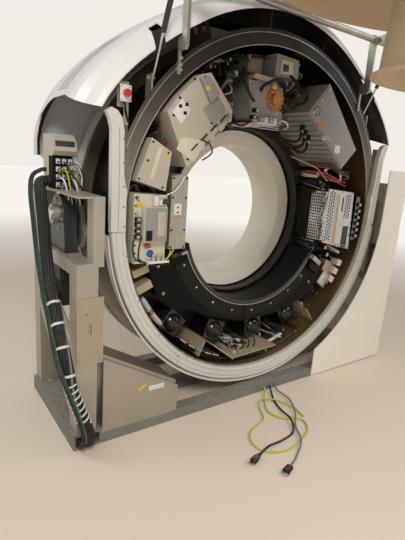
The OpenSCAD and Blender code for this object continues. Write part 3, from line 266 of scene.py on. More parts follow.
redPaint = finish("redPaint", (196, 40, 34), (150, 26, 22), rough=0.3, coat=0.4)
redWire = finish("redWire", (190, 70, 44), (130, 40, 30), rough=0.42)
blueLabel = finish("blueLabel", (32, 92, 176), (26, 74, 150), rough=0.4)
yellowLabel = finish("yellowLabel", (232, 188, 40), (208, 160, 24), rough=0.4)
darkGlass = finish("darkGlass", (52, 58, 56), (34, 38, 38), rough=0.12, coat=0.4)
fitGreen = finish("fitGreen", (44, 84, 58), (26, 54, 38), rough=0.45)
# painted shade for the dark strips in the dome's vent grooves
ventShadePaint = finish("ventShadePaint", (92, 92, 92), (70, 70, 70), rough=0.5)
coverCream = finish("coverCream", (240, 235, 224), (224, 216, 200), rough=0.34, coat=0.2, amount=0.3, dust=0.1)
detectorBlack = finish("detectorBlack", (9, 9, 10), (15, 15, 15), rough=0.36, shine=0.16, dust=0.04, wear=0.3,
                       wearColour=(60, 60, 60))
redOxide = finish("redOxide", (96, 52, 34), (66, 36, 26), rough=0.5)
orangeLabel = finish("orangeLabel", (214, 120, 40), (180, 92, 26), rough=0.4)
pinkStripe = finish("pinkStripe", (206, 168, 152), (176, 140, 124), rough=0.4)
darkGreen = finish("darkGreen", (52, 74, 56), (34, 50, 38), rough=0.45)
print("finishes made:", len(bpy.data.materials))


# ---- mesh helpers: everything is added to one bmesh a piece, in millimetres
def ringPoint(angle, radius, y):
    a = math.radians(angle)
    return Vector((radius * math.cos(a), y, axisZ + radius * math.sin(a)))


def ringFrame(angle, radius=0.0, y=0.0):
    a = math.radians(angle)
    out, turn = Vector((math.cos(a), 0, math.sin(a))), Vector((-math.sin(a), 0, math.cos(a)))
    frameMatrix = Matrix((out, Vector((0, 1, 0)), turn)).transposed().to_4x4()
    return Matrix.Translation(ringPoint(angle, radius, y)) @ frameMatrix


def addLoops(bm, loops, slot=0):
    rows = [[bm.verts.new(p) for p in loop] for loop in loops]
    size = len(rows[0])
    sides = [(a[i], a[(i + 1) % size], b[(i + 1) % size], b[i])
             for a, b in zip(rows, rows[1:]) for i in range(size)]
    for corners in sides + [rows[0][::-1], rows[-1]]:
        bm.faces.new(corners).material_index = slot


def addBox(bm, low, high, slot=0, matrix=Matrix()):
    (x0, y0, z0), (x1, y1, z1) = low, high
    addLoops(bm, [[matrix @ Vector((x, y, z)) for x, y in ((x0, y0), (x1, y0), (x1, y1), (x0, y1))]
                  for z in (z0, z1)], slot)


def addPrism(bm, outline, y0, y1, slot=0, base=axisZ):
    addLoops(bm, [[Vector((x, y, z + base)) for x, z in outline] for y in (y1, y0)], slot)


def circle(centre, radius, side, other, sides):
    turns = (2 * math.pi * i / sides for i in range(sides))
    return [centre + radius * (math.cos(t) * side + math.sin(t) * other) for t in turns]


def addRod(bm, start, end, radius, slot=0, sides=16):
    start, end = Vector(start), Vector(end)
    run = (end - start).normalized()
    side = run.orthogonal().normalized()
    addLoops(bm, [circle(p, radius, side, run.cross(side), sides) for p in (start, end)], slot)


def smoothPath(points, steps=6):
    pts = [Vector(p) for p in points]
    out = []
    for a, b, c, d in zip([pts[0]] + pts, pts, pts[1:], pts[2:] + [pts[-1]]):
        for k in range(steps):
            t = k / steps
            out.append(b + (c - a) / 2 * t + (2 * a - 5 * b + 4 * c - d) / 2 * t * t
                       + (3 * b - a - 3 * c + d) / 2 * t ** 3)
    return out + [pts[-1]]


def pathLengths(path):
    lengths = [0.0]
    for a, b in zip(path, path[1:]):
        lengths.append(lengths[-1] + (b - a).length)
    return lengths


def addTube(bm, path, radius, slot=0, sides=8):
    path = [Vector(p) for p in path]
    side = (path[1] - path[0]).normalized().orthogonal().normalized()
    loops = []
    for before, p, after in zip([path[0]] + path, path, path[1:] + [path[-1]]):
        ahead = (after - before).normalized()
        side = (side - ahead * side.dot(ahead)).normalized()
        loops.append(circle(p, radius, side, ahead.cross(side), sides))
    addLoops(bm, loops, slot)


def addArc(bm, profile, slot, a0, a1):
    steps = int(240 * (a1 - a0) / 360)  # 240 in a full turn
    addLoops(bm, [[ringPoint(a0 + (a1 - a0) * i / steps, r, y) for r, y in profile] for i in range(steps + 1)], slot)


def addScrew(bm, place, radius, height, slot=0, along=frontward):
    place, along = Vector(place), Vector(along).normalized()
    middle = place + along * height * 0.4  # washer below, head above
    addRod(bm, place, middle, radius * 1.35, slot, 12)
    addRod(bm, middle, place + along * height, radius, slot, 6)


def addScrews(bm, spots, y, radius, height, slot, base=axisZ):
    for x, z in spots:
        addScrew(bm, (x, y, base + z), radius, height, slot)


def addStud(bm, x, z, *steps):
    for y0, y1, radius, slot, sides in steps:
        addRod(bm, (x, y0, axisZ + z), (x, y1, axisZ + z), radius, slot, sides)


def addAll(bm, add, rows):  # one call of add for each row
    for row in rows:
        add(bm, *row)


def smooth(mesh, angle):
    mesh.polygons.foreach_set("use_smooth", [True] * len(mesh.polygons))
    mesh.set_sharp_from_angle(angle=math.radians(angle))


def newPiece(bm, name, angle):
    bmesh.ops.recalc_face_normals(bm, faces=bm.faces)
    bm.transform(Matrix.Scale(mm, 4))
    mesh = bpy.data.meshes.new(name)
    bm.to_mesh(mesh)
    bm.free()
    piece = bpy.data.objects.new(name, mesh)
    bpy.context.scene.collection.objects.link(piece)
    smooth(mesh, angle)
    return piece


def settle(piece, body, replaces=()):
    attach(piece, body)
    if replaces:
        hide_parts(*replaces)
    return piece


def makePiece(bm, name, body, materials, bevel=0.0, angle=32, replaces=()):
    piece = newPiece(bm, name, angle)
    for material in materials:
        piece.data.materials.append(material)
    if bevel:
        rounded = piece.modifiers.new("edges", "BEVEL")
        rounded.width, rounded.segments, rounded.limit_method = bevel * mm, 2, "ANGLE"
        rounded.angle_limit = math.radians(40)
        bakeModifiers(piece)
        smooth(piece.data, angle)
    return settle(piece, body, replaces)


def bakeModifiers(piece):
    graph = bpy.context.evaluated_depsgraph_get()
    graph.update()
    flat = bpy.data.meshes.new_from_object(piece.evaluated_get(graph), preserve_all_data_layers=True,
                                           depsgraph=graph)
    piece.modifiers.clear()
    old, piece.data = piece.data, flat
    flat.name = piece.name
    bpy.data.meshes.remove(old)


# ---- free cords, along the same routes as the model's
cords = {
    "earth": {
        "node": "earth_wire", "radius": 4, "far": "bare", "finish": yellowLead, "stiffness": "medium",
        "route": [
            (30, -312, 26), (30, -320, 26), (10, -345, 12), (-40, -400, 5), (-90, -480, 5), (-70, -560, 5),
            (10, -610, 5), (-30, -690, 5), (-150, -740, 5), (-250, -750, 5), (-330, -700, 5), (-330, -620, 5),
            (-270, -560, 5), (-160, -520, 5), (-110, -440, 5), (-60, -390, 18), (10, -430, 17), (60, -520, 5),
            (40, -600, 5)]},
    "lead": {
        "node": "power_lead", "radius": 5, "far": "plug", "finish": blackRubber, "stiffness": "medium",
        "route": [
            (70, -312, 26), (70, -320, 26), (54, -350, 12), (10, -420, 6), (-20, -500, 6), (-50, -600, 16),
            (-110, -670, 7), (-200, -690, 6), (-290, -700, 16), (-352, -718, 16), (-364, -722, 16)]},
    "signal": {
        "node": "signal_cable", "radius": 4, "far": "connector", "finish": greyRubber, "stiffness": "limp",
        "route": [
            (110, -312, 26), (110, -320, 26), (100, -352, 11), (90, -450, 12), (20, -560, 16), (-60, -640, 8),
            (-130, -740, 14), (-220, -800, 6), (-290, -834, 8), (-301, -838, 8)]}}


def plugTurn(route):
    tip, before = Vector(route[-1]), Vector(route[-2])
    run = (tip - before).normalized()
    side = Vector((-run.y, run.x, 0)).normalized()
    return Matrix.Translation(tip) @ Matrix((run, side, run.cross(side))).transposed().to_4x4()


def makeLeadPlug():
    bm = bmesh.new()
    frameMatrix = plugTurn(cords["lead"]["route"])
    profile = [(0, 5.2), (2, 6.4), (6, 6.0), (9, 7.4), (12, 6.8), (15, 9.0), (19, 8.6), (23, 11.6), (38, 14.6),
               (44, 15.2), (60, 15.2), (64, 13.4), (69.5, 12.6)]
    loops = [[frameMatrix @ Vector((x, r * math.cos(t), r * math.sin(t)))
              for t in (2 * math.pi * i / 24 for i in range(24))] for x, r in profile]
    addLoops(bm, loops, 0)
    for y in (-8, 8):
        addRod(bm, frameMatrix @ Vector((69, y, 0)), frameMatrix @ Vector((88, y, 0)), 2.3, 1, 10)
    return makePiece(bm, "leadPlug", "stand", [blackRubber, brassFit], 0.4, replaces=["lead_plug"])


def makeSignalPlug():
    bm = bmesh.new()
    frameMatrix = plugTurn(cords["signal"]["route"])
    addAll(bm, addBox, [
        ((0, -13, -7), (16, 13, 7), 0, frameMatrix), ((16, -14, -7.4), (51, 14, 7.8), 0, frameMatrix),
        ((51, -11, -5.4), (63.5, 11, 5.8), 1, frameMatrix)])
    for y in (-12, 12):
        addRod(bm, frameMatrix @ Vector((18, y, 0)), frameMatrix @ Vector((55, y, 0)), 1.8, 1, 8)
    return makePiece(bm, "signalPlug", "stand", [blackMatt, brightSteel], 0.6,
                     replaces=["signal_plug"])


def makeCord(name, mates):
    facts = cords[name]
    route = facts["route"]
    path = [Vector(route[0])] + smoothPath(route[1:-1]) + [Vector(route[-1])]
    bm = bmesh.new()
    addTube(bm, path, facts["radius"], 0, 12)
    piece = makePiece(bm, name + "Cord", "stand", [facts["finish"]], angle=60, replaces=[facts["node"]])


makeCord("earth", [])
makeCord("lead", [makeLeadPlug()])
makeCord("signal", [makeSignalPlug()])
print("cords laid")


# ---- first coat for every solid of the model; later pieces stand for many of them
coats = {
    basePaint: ["base_left", "base_right", "base_beams"],
    zincPlate: ["levelling_jacks", "hinge_brackets", "trunnions", "switch_bracket", "cover_arms"],
    standPaint: ["stand_left", "stand_right"],
    bearingGreen: ["bearing_blocks"],
    darkPaint: ["tilt_gearbox", "rotor_plate"],
    tanBracket: ["post_cover", "rotor_brackets"],
    stainless: ["side_box", "side_module"],
    blackMatt: ["terminal_block", "brush_block", "cooler"],
    boxPaint: ["terminal_hood", "power_box", "filter_box"],
    blackRubber: ["cable_bundle"],
    creamPaint: ["control_chassis"],
    coverCream: ["side_cover"],
    detectorBlack: ["detector"],
    framePaint: ["main_frame"],
    brightSteel: ["bearing_outer", "bearing_inner", "tilt_pinion", "cooler_panel", "rod_left", "rod_right"],
    drumGold: ["drum_shroud", "belly_pan"],
    ringGold: ["front_ring"],
    sealWhite: ["seal_arc", "seal_sides", "trim_lip"],
    domeShell: ["dome", "rear_cover"],
    linerCream: ["bore_liner"],
    redPaint: ["stop_button"],
    brassFit: ["slip_ring"],
    greyPaint: ["tube_unit", "high_voltage_tank", "console_box"],
    copperDisc: ["tube_disc"],
    whitePlastic: ["collimator"],
    blackGloss: ["blowers", "strut_left", "strut_right"],
    silverSleeve: ["looms"],
    coverPaintedReflection: ["front_cover"],
}
for coat, names in coats.items():
    for nodeName in names:
        data = cadNodes[nodeName].data
        data.materials.clear()
        data.materials.append(coat)
print("coats given:", sum(len(names) for names in coats.values()))

# ---- repeats made by node trees: the piece's own mesh is one copy, placed round a ring or along rows
def repeatTree(name, ring):
    tree = bpy.data.node_groups.new(name, "GeometryNodeTree")
    for label, kind in {"Geometry": "Geometry", "Count": "Int", "Rows": "Int", "Centre": "Vector",
                        "Step": "Vector", "Row Step": "Vector", "Radius": "Float", "Start": "Float",
                        "Pitch": "Float", "Material": "Material"}.items():
        tree.interface.new_socket(label, in_out="INPUT", socket_type="NodeSocket" + kind)
    tree.interface.new_socket("Geometry", in_out="OUTPUT", socket_type="NodeSocketGeometry")
    given, sink = tree.nodes.new("NodeGroupInput").outputs, tree.nodes.new("NodeGroupOutput")

    def scaled(vector, factor):
        return vectorMaths(tree, "SCALE", vector, None, None, factor)

    index = put(tree, "GeometryNodeInputIndex").outputs[0]
    column = maths(tree, "FLOORED_MODULO", index, given["Count"])
    row = maths(tree, "FLOOR", maths(tree, "DIVIDE", maths(tree, "ADD", index, 0.01), given["Count"]))
    moved = vectorMaths(tree, "ADD", given["Centre"], scaled(given["Row Step"], row))
    turn = None
    if ring:
        angle = maths(tree, "ADD", given["Start"], maths(tree, "MULTIPLY", column, given["Pitch"]))
        across = put(tree, "ShaderNodeCombineXYZ", maths(tree, "COSINE", angle), None, maths(tree, "SINE", angle))
        step = scaled(across.outputs[0], given["Radius"])
        turn = put(tree, "ShaderNodeCombineXYZ", None, maths(tree, "MULTIPLY", angle, -1.0)).outputs[0]
    else:
        step = scaled(given["Step"], column)
    dots = put(tree, "GeometryNodePoints", Count=maths(tree, "MULTIPLY", given["Count"], given["Rows"]),
               Position=vectorMaths(tree, "ADD", moved, step))
    placed = put(tree, "GeometryNodeInstanceOnPoints", Points=dots.outputs[0], Instance=given["Geometry"],
                 Rotation=turn)
    real = put(tree, "GeometryNodeRealizeInstances", placed.outputs[0])
    coated = put(tree, "GeometryNodeSetMaterial", Geometry=real.outputs[0], Material=given["Material"])
    feed(tree, sink.inputs[0], coated.outputs[0])
    return tree


ringRepeat, rowRepeat = repeatTree("ringRepeat", True), repeatTree("rowRepeat", False)


def repeatPiece(bm, name, body, material, tree, values):
    piece = newPiece(bm, name, 40)
    modifier = piece.modifiers.new("repeat", "NODES")
    modifier.node_group = tree
    sockets = {s.name: s.identifier for s in tree.interface.items_tree if s.in_out == "INPUT"}
    for label, value in dict({"Rows": 1, "Material": material}, **values).items():
        modifier[sockets[label]] = value
    bakeModifiers(piece)
    return settle(piece, body)


def ringRow(name, body, material, bm, count, radius, start, pitch, centre=(0, 0, axisZ), slot=None):
    values = {"Count": count, "Centre": [c * mm for c in centre], "Radius": radius * mm,
              "Start": math.radians(start), "Pitch": math.radians(pitch)}
    return repeatPiece(bm, name, body, material, ringRepeat, values)


def gridRow(name, body, material, bm, count, place, step, rows=1, rowStep=(0, 0, 0)):
    values = {"Count": count, "Rows": rows, "Centre": [c * mm for c in place],
              "Step": [c * mm for c in step], "Row Step": [c * mm for c in rowStep]}
    return repeatPiece(bm, name, body, material, rowRepeat, values)


def boltHead(radius=5.0, height=4.0, sides=6):
    bm = bmesh.new()
    addRod(bm, (0, 0, 0), (0, -1.2, 0), radius * 1.45, 0, 16)
    addRod(bm, (0, -1.2, 0), (0, -height, 0), radius, 0, sides)
    return bm


def plainBox(low, high):
    bm = bmesh.new()
    addBox(bm, low, high)
    return bm


for name, body, material, head, bolts, centre in [
        ("flangeBolts", "gantry", zincPlate, (4.4, 4.5), (27, 804.5, 204, 5.0), (0, -235, axisZ)),
        ("rimBolts", "rotor", zincPlate, (6, 6), (44, 762, 4, 8.2), (0, 20, axisZ)),
        ("discBolts", "rotor", brassFit, (3.4, 4), (12, 44, 0, 30), (-58, -262, axisZ + 561)),
        ("discHub", "rotor", brassFit, (2.6, 3), (6, 20, 0, 60), (-58, -272, axisZ + 561))]:
    ringRow(name, body, material, boltHead(*head), *bolts, centre)


# ---- blowers: domes with radial ribs on square flanges
blowerFacts = {"spots": [(-131, 712), (-108, 650), (-83, 646), (-60, 696)], "front": -142, "ribs": 16,
               "profile": [(50, 23), (50, 18), (46, 12), (40, 4), (30, -2), (16, -6), (5, -7)]}


def makeBlowers():
    ribs = blowerFacts["ribs"]
    for k, (angle, radius) in enumerate(blowerFacts["spots"]):
        centre = ringPoint(angle, radius, blowerFacts["front"])
        turned = ringFrame(angle, radius, blowerFacts["front"])
        bm = bmesh.new()
        addLoops(bm, [circle(centre + Vector((0, y, 0)), r, Vector((1, 0, 0)), Vector((0, 0, 1)), 40)
                      for r, y in blowerFacts["profile"]])
        for sx, sz in ((-1, -1), (-1, 1), (1, -1), (1, 1)):
            addScrew(bm, turned @ Vector((sx * 44, 22, sz * 50)), 4, 4)
        makePiece(bm, "blowerDome%d" % k, "rotor", [blackGloss], angle=30)
        ringRow("blowerRibs%d" % k, "rotor", blackGloss, plainBox((9, -8.5, -1.1), (38, 0, 1.1)), ribs, 0, 0,
                360 / ribs, tuple(centre), "blower_black")


makeBlowers()


# ---- cooler screen and fins, pin rack and contact rows
def makeRows():
    low, high = axisZ - 138, axisZ + 142
    bm = plainBox((448.6, -212, low), (450.6, -112, high))
    addBox(bm, (448.6, -214, low), (470, -212, high))
    makePiece(bm, "coolerScreen", "rotor", [brightSteel], 0.5)
    hexes = bmesh.new()
    addRod(hexes, (0, 0, 0), (-0.5, 0, 0), 6.2, 0, 6)
    gridRow("screenHoles", "rotor", blackMatt, hexes, 6, (448.6, -202, axisZ - 124), (0, 16, 0), 16, (0, 0, 16.6))
    gridRow("coolerFins", "rotor", darkPaint, plainBox((0, -0.8, 0), (16, 0.8, 276)), 30,
            (453.5, -205, axisZ - 136), (0, 7.2, 0))
    gridRow("rackPins", "rotor", brightSteel, plainBox((-2.4, -9, -2.4), (2.4, 0, 2.4)), 7,
            (598, -215, axisZ - 168), (14, 0, -1.6), 2, (0, 0, -13))
    gridRow("chassisScrews", "rotor", blackMatt, boltHead(2.8, 2.4, 8), 9, (-757, -250, axisZ - 168),
            (-0.4, 0, 33))
    gridRow("greenContacts", "rotor", fitGreen, plainBox((-5, -12, -4), (5, 0, 4)), 3,
            (-642, -250, axisZ + 76), (13, 0, 0), 2, (0, 0, 12))


makeRows()


# ---- control chassis: plates, cylinders, connectors, knob, labels and tray
def makeChassis():
    bm, front = bmesh.new(), -250  # face of the control chassis
    z = axisZ
    addAll(bm, addBox, [
        ((-733, -291, z - 80), (-633, -287.5, z + 59), 0), ((-728, -293, z - 76), (-700, -290.5, z - 34), 1),
        ((-676, -293, z - 60), (-640, -290.5, z + 44), 2)])
    for x, low, high, radius, cap in [(-672, z + 64, z + 106, 12.5, 10), (-650, z + 66, z + 92, 8, 6)]:
        addRod(bm, (x, -262, low), (x, -262, high), radius, 3, 24)
        addRod(bm, (x, -262, high), (x, -262, high + 4), cap, 4, 24)
    for i in range(4):
        addBox(bm, (-764, -268, z - 70 + i * 24), (-740, front, z - 54 + i * 24), 5)
        addBox(bm, (-760, -272, z - 67 + i * 24), (-744, -268, z - 57 + i * 24), 4)
    addStud(bm, -756, 96, (front, -264, 7, 5, 18), (-264, -268, 5, 4, 18))
    addBox(bm, (-756, -251, z + 56), (-730, front, z + 76), 6)
    addBox(bm, (-760, -251, z - 6), (-744, front, z + 44), 2)
    addStud(bm, -690, -138, (-256, -257.4, 22, 3, 36), (-257.2, -258.2, 18, 7, 36))
    addAll(bm, addBox, [
        ((-712, -262, z - 112), (-690, front, z - 96), 8), ((-700, -272, z - 190), (-600, front, z - 181), 3),
        ((-700, -272, z - 190), (-600, -269, z - 170), 3)])
    for x in (-676, -652, -628):
        addRod(bm, (x, -264, z - 180), (x, -264, z - 150), 8, 4, 16)
        addRod(bm, (x, -264, z - 150), (x, -264, z - 142), 5, 9, 16)
    addScrews(bm, [(x, h) for x in (-756, -620) for h in (-172, 100)], front, 4, 4, 4)
    makePiece(bm, "chassisParts", "rotor", [greyPaint, blackMatt, boxPaint, whitePlastic, brightSteel, blackGloss,
              yellowLabel, blueLabel, redWire, yellowLead], 0.6)


makeChassis()


# ---- power box, filter box and side module faces
def makeBoxFaces():
    bm, front = bmesh.new(), -262  # face of the power box and the filter box
    z = axisZ
    for outline, y0, y1, slot in [
            ([(-618, 442), (-575, 500), (-530, 458), (-572, 398)], -265, front, 0),
            ([(-500, 586), (-458, 600), (-400, 540), (-440, 500)], -280, front, 1),
            ([(-470, 470), (-402, 536), (-344, 478), (-410, 408)], -265, front, 1),
            ([(-392, 408), (-336, 470), (-320, 452), (-376, 392)], -267, front, 2),
            ([(-590, 300), (-566, 350), (-440, 344), (-500, 250)], -264, front, 3)]:
        addPrism(bm, outline, y0, y1, slot)
    for x, height in ((-590, 470), (-566, 446), (-560, 480)):
        addBox(bm, (x, -266.5, z + height - 8), (x + 15, -265, z + height + 5), 4)
    addBox(bm, (-474, -281, z + 545), (-452, -280, z + 560), 5)
    addScrews(bm, [(-610, 430), (-520, 580), (-330, 460), (-530, 262), (-420, 420), (-585, 500), (-470, 596)],
              front, 4, 4, 4)
    for k in range(4):
        addBox(bm, (-3, -266, -22), (3, front, 22), 4, Matrix.Translation(Vector((-360 - k * 47, 0, z + 446 - k * 44)))
               @ Matrix.Rotation(math.radians(45), 4, "Y"))
    addPrism(bm, [(-668, 300), (-648, 304), (-688, 170), (-706, 176)], -257, -255, 3)
    addBox(bm, (-640, -256, z + 268), (-620, -255, z + 284), 5)
    addScrews(bm, [(-694, 320), (-622, 282), (-752, 172), (-642, 140), (-716, 246)], -255, 3.6, 3.6, 4)
    addBox(bm, (-584, -263, z + 20), (-546, front, z + 74), 6)
    for height in (36, 58):
        addStud(bm, -565, height, (-263, -263.8, 4.5, 4, 16))
    addBox(bm, (-584, -263.6, z + 20), (-546, -263, z + 24), 7)
    addScrews(bm, [(x, h) for h in (-116, -40, 100, 182) for x in (-526, -592)], front, 3.6, 3.6, 4)
    makePiece(bm, "boxFaces", "rotor", [whitePlastic, greyPaint, stainless, creamPaint, blackMatt, yellowLabel,
              whitePlastic, redPaint], 0.5)


makeBoxFaces()
print("boxes dressed")


# ---- tube unit: yoke plates, blocks, studs, rails and hoses
def makeTubeParts():
    bm = bmesh.new()
    z = axisZ
    addPrism(bm, [(-206, 616), (-40, 610), (-30, 500), (-60, 474), (-166, 474), (-184, 498)], -255, -252, 0)
    addPrism(bm, [(-196, 640), (-60, 634), (-64, 656), (-180, 660)], -246, -200, 1)
    for i, x in enumerate((-168, -140, -112, -84, -56)):
        addBox(bm, (x, -290, z + 452), (x + 20, -266, z + 474), 2 if i % 2 else 3)
        addScrew(bm, (x + 10, -290, z + 463), 3.4, 3.4, 4)
    for x, height in ((-196, 470), (-184, 500)):
        addStud(bm, x, height, (-252, -276, 9, 5, 20), (-276, -282, 6, 4, 12))
    for k in range(3):
        addRod(bm, (-190, -262 + k * 3, z + 446 - k * 9), (-20, -262 + k * 3, z + 446 - k * 9), 2.6, 6, 10)
    addBox(bm, (-96, -274, z + 604), (-72, -272, z + 622), 7)
    addScrews(bm, [(-198, 606), (-48, 602), (-42, 506), (-72, 482), (-158, 482), (-190, 520), (-130, 610)],
              -255, 4.4, 4.4, 4)
    for i, path in enumerate((
            [(-150, -250, 590), (-160, -290, 610), (-120, -312, 634), (-60, -300, 640), (-10, -270, 620)],
            [(-20, -250, 520), (10, -282, 540), (40, -290, 580), (70, -270, 640), (60, -220, 690)],
            [(-180, -250, 540), (-226, -270, 560), (-250, -262, 610), (-230, -230, 660), (-190, -160, 690)])):
        addTube(bm, smoothPath([(x, y, z + h) for x, y, h in path]), 8 - i, 8, 10)
    makePiece(bm, "tubeParts", "rotor", [greyPaint, boxPaint, whitePlastic, greyPaint, brightSteel, blackMatt,
              brightSteel, yellowLabel, blackRubber], 0.5)


makeTubeParts()


# ---- tank: cover plate, ribbed side, fittings and labels
def makeTankParts():
    bm, front = bmesh.new(), -279  # face of the tank's cover plate
    z = axisZ
    side = Vector((470 - 160, 0, 272 - 533)).normalized()
    out = Vector((side.z, 0, -side.x))
    start = Vector((160, 0, z + 533))
    for k in range(11):
        foot = start + side * (24 + k * 34)
        low, high = foot + out * 0.2, foot + out * 7
        corners = (low - side * 2, low + side * 2, high + side * 2, high - side * 2)
        addLoops(bm, [[Vector((p.x, y, p.z)) for p in corners] for y in (-262, 6)])
    addPrism(bm, [(284, 668), (176, 534), (466, 288), (560, 382)], front, -276, 0)
    for k in range(24):
        a = math.radians(k * 15)
        addStud(bm, 215 + 21 * math.cos(a), 545 + 21 * math.sin(a), (front, -280, 2.6, 1, 8))
    addStud(bm, 286, 420, (front, -288, 12, 2, 24), (-288, -300, 7, 3, 16))
    addBox(bm, (388, -280, z + 352), (430, front, z + 392), 2)
    addBox(bm, (236, -281, z + 470), (262, front, z + 492), 4)
    for k, (x, height) in enumerate(((196, 470), (222, 446), (250, 424))):
        addRod(bm, (x, -210, z + height), (x - 20, -226, z + height - 26), 13, 1, 20)
        addRod(bm, (x - 20, -226, z + height - 26), (x - 26, -231, z + height - 34), 10, 3, 20)
        addTube(bm, smoothPath([(x - 26, -231, z + height - 34), (x - 50, -246, z + height - 70),
                (x - 90, -236, z + height - 84), (x - 150, -180, z + height - 60 + k * 10)]), 7, 1, 10)
    addScrews(bm, [(290, 656), (190, 536), (462, 300), (546, 382), (330, 420), (420, 520), (240, 600)], front, 5, 4, 3)
    makePiece(bm, "tankParts", "rotor", [greyPaint, blackMatt, whitePlastic, brightSteel, orangeLabel],
              0.5)


makeTankParts()


# ---- console box, cooler strips and side plates
def makeUpperParts():
    bm, front = bmesh.new(), -215  # face of the cooler
    z = axisZ
    addAll(bm, addPrism, [
        ([(10, 694), (92, 700), (88, 756), (12, 758)], -203, -200, 0),
        ([(22, 704), (60, 708), (58, 738), (22, 740)], -205, -203, 1),
        ([(196, 668), (236, 712), (254, 738), (190, 754)], -113, -110, 2),
        ([(206, 690), (216, 684), (232, 706), (236, 726), (226, 730), (214, 722)], -115, -113, 3),
        ([(-120, 700), (-50, 696), (-50, 764), (-112, 758)], -123, -120, 4)])
    for k, slot in enumerate((5, 6, 5)):
        x = 548 + k * 14
        addPrism(bm, [(x, -170 + 4 * k), (x + 10, -172 + 4 * k), (x + 6, 126 - k), (x - 4, 127 - k)], -216.6, front,
                 slot)
    addPrism(bm, [(642, -190), (694, -196), (690, -60), (642, -60)], -217, front, 7)
    for k in range(3):
        addBox(bm, (732 + k * 12, -219, z - 146), (739 + k * 12, front, z + 114), 8)
    for k in range(6):
        addBox(bm, (736, -236, z - 130 + k * 38), (764, -219, z - 108 + k * 38), 9)
        addBox(bm, (740, -239, z - 127 + k * 38), (760, -236, z - 111 + k * 38), 8)
    addScrews(bm, [(478, 148), (478, -140), (692, 132), (714, -194), (600, 146), (600, -170), (540, 60)],
              front, 3.8, 3.8, 8)
    makePiece(bm, "upperParts", "rotor", [creamPaint, darkGlass, stainless, blackMatt, tanBracket, creamPaint,
              pinkStripe, darkGreen, brightSteel, blackGloss], 0.4)


makeUpperParts()


# ---- detector: glossy inner band with a bright edge, cover bands, bolts and end blocks
def makeDetectorParts():
    bm, front = bmesh.new(), -182  # face of the detector's inner band
    addAll(bm, addArc, [
        ([(456.4, front), (476, front), (476, -178), (470, -176), (470, -120), (456.4, -120)], 0, 199, 332),
        ([(476.5, -183.4), (479.5, -183.4), (479.5, -180), (476.5, -180)], 1, 199, 332),
        ([(486, front), (548, front), (552, -180), (482, -180)], 2, 204, 262),
        ([(486, front), (540, front), (544, -180), (482, -180)], 2, 264, 318)])
    for angle in (206, 222, 238, 254, 270, 286, 302, 316):
        addScrew(bm, ringPoint(angle, 512 if angle < 300 else 505, front), 4, 3.4, 1)
    for angle, radius in ((200, 640), (212, 668), (318, 590), (330, 580)):
        addScrew(bm, ringPoint(angle, radius, -180), 6, 6, 3)
    turned = ringFrame(199)
    addBox(bm, (478, -186, -14), (560, -180, 6), 0, turned)
    addBox(bm, (486, -206, -10), (520, -186, 2), 3, turned)
    turned = ringFrame(327)
    addAll(bm, addBox, [
        ((500, -198, -30), (590, -180, 12), 2, turned), ((470, -214, 14), (566, -209, 40), 4, turned),
        ((470, -214, 14), (476, -170, 40), 4, turned), ((560, -214, 14), (566, -170, 40), 4, turned)])
    makePiece(bm, "detectorParts", "rotor", [blackGloss, brightSteel, blackMatt, zincPlate, stainless],
              0.3, angle=30)


makeDetectorParts()


# ---- looms, hose ends and plates in the lower half, and the rotor's wires
def ringPath(a0, a1, radius, y, steps=24):
    return [ringPoint(a0 + (a1 - a0) * i / steps, radius, y) for i in range(steps + 1)]


def addSpiral(bm, path, radius, turns, wire, slot=0, perTurn=14):
    lengths = pathLengths(path)
    loops, count, k = [], int(turns * perTurn), 0
    for i in range(count + 1):
        s = lengths[-1] * i / count
        while k < len(path) - 2 and lengths[k + 1] < s:
            k += 1
        t = (s - lengths[k]) / max(lengths[k + 1] - lengths[k], 1e-6)
        ahead = (path[k + 1] - path[k]).normalized()
        side = ahead.cross(Vector((0.37, 0.61, 0.7))).normalized()
        other = ahead.cross(side)
        a = 2 * math.pi * i / perTurn
        loops.append(path[k].lerp(path[k + 1], t) + radius * (math.cos(a) * side + math.sin(a) * other))
    addTube(bm, loops, wire, slot, 6)


def makeLooms():
    bm = bmesh.new()
    addSpiral(bm, ringPath(210, 222, 760, -150), 12.6, 13, 2.4, 0)
    addTube(bm, ringPath(215.2, 216.8, 760, -150, 4), 15, 1, 20)
    for k in range(26):
        addTube(bm, ringPath(279 + k * 0.48, 279.3 + k * 0.48, 770, -150, 1), 10.4, 0, 16)
    for k, angle in enumerate((262, 265.5, 269, 272.5)):
        place, turned = ringPoint(angle, 742, -190), ringFrame(angle, 742, -190)
        addRod(bm, place, turned @ Vector((30, 0, 0)), 8, 2 if k % 2 else 3, 18)
        addRod(bm, turned @ Vector((-10, 0, 0)), place, 5.5, 4, 14)
        addTube(bm, smoothPath([turned @ Vector(p) for p in ((-8, 0, 0), (-30, -8, 4), (-52, 10, 14), (-60, 60, 10))],
                5), 4, 5, 8)
    for k in range(5):
        turned = ringFrame(232 + k * 4.5)
        addBox(bm, (752, -226 - (k % 2) * 6, -22), (758, -120, 22), 4, turned)
    for k in range(3):
        turned = ringFrame(328 + k * 4.4)
        addBox(bm, (716, -206, -20), (752, -150, 16), 3, turned)
        addScrew(bm, turned @ Vector((734, -206, 0)), 4, 4, 4)
    turned = ringFrame(325)
    addBox(bm, (640, -196, -40), (716, -172, 44), 4, turned)
    makePiece(bm, "loomParts", "rotor", [whitePlastic, copperDisc, brassFit, whitePlastic, brightSteel, blackRubber],
              0.3)


makeLooms()


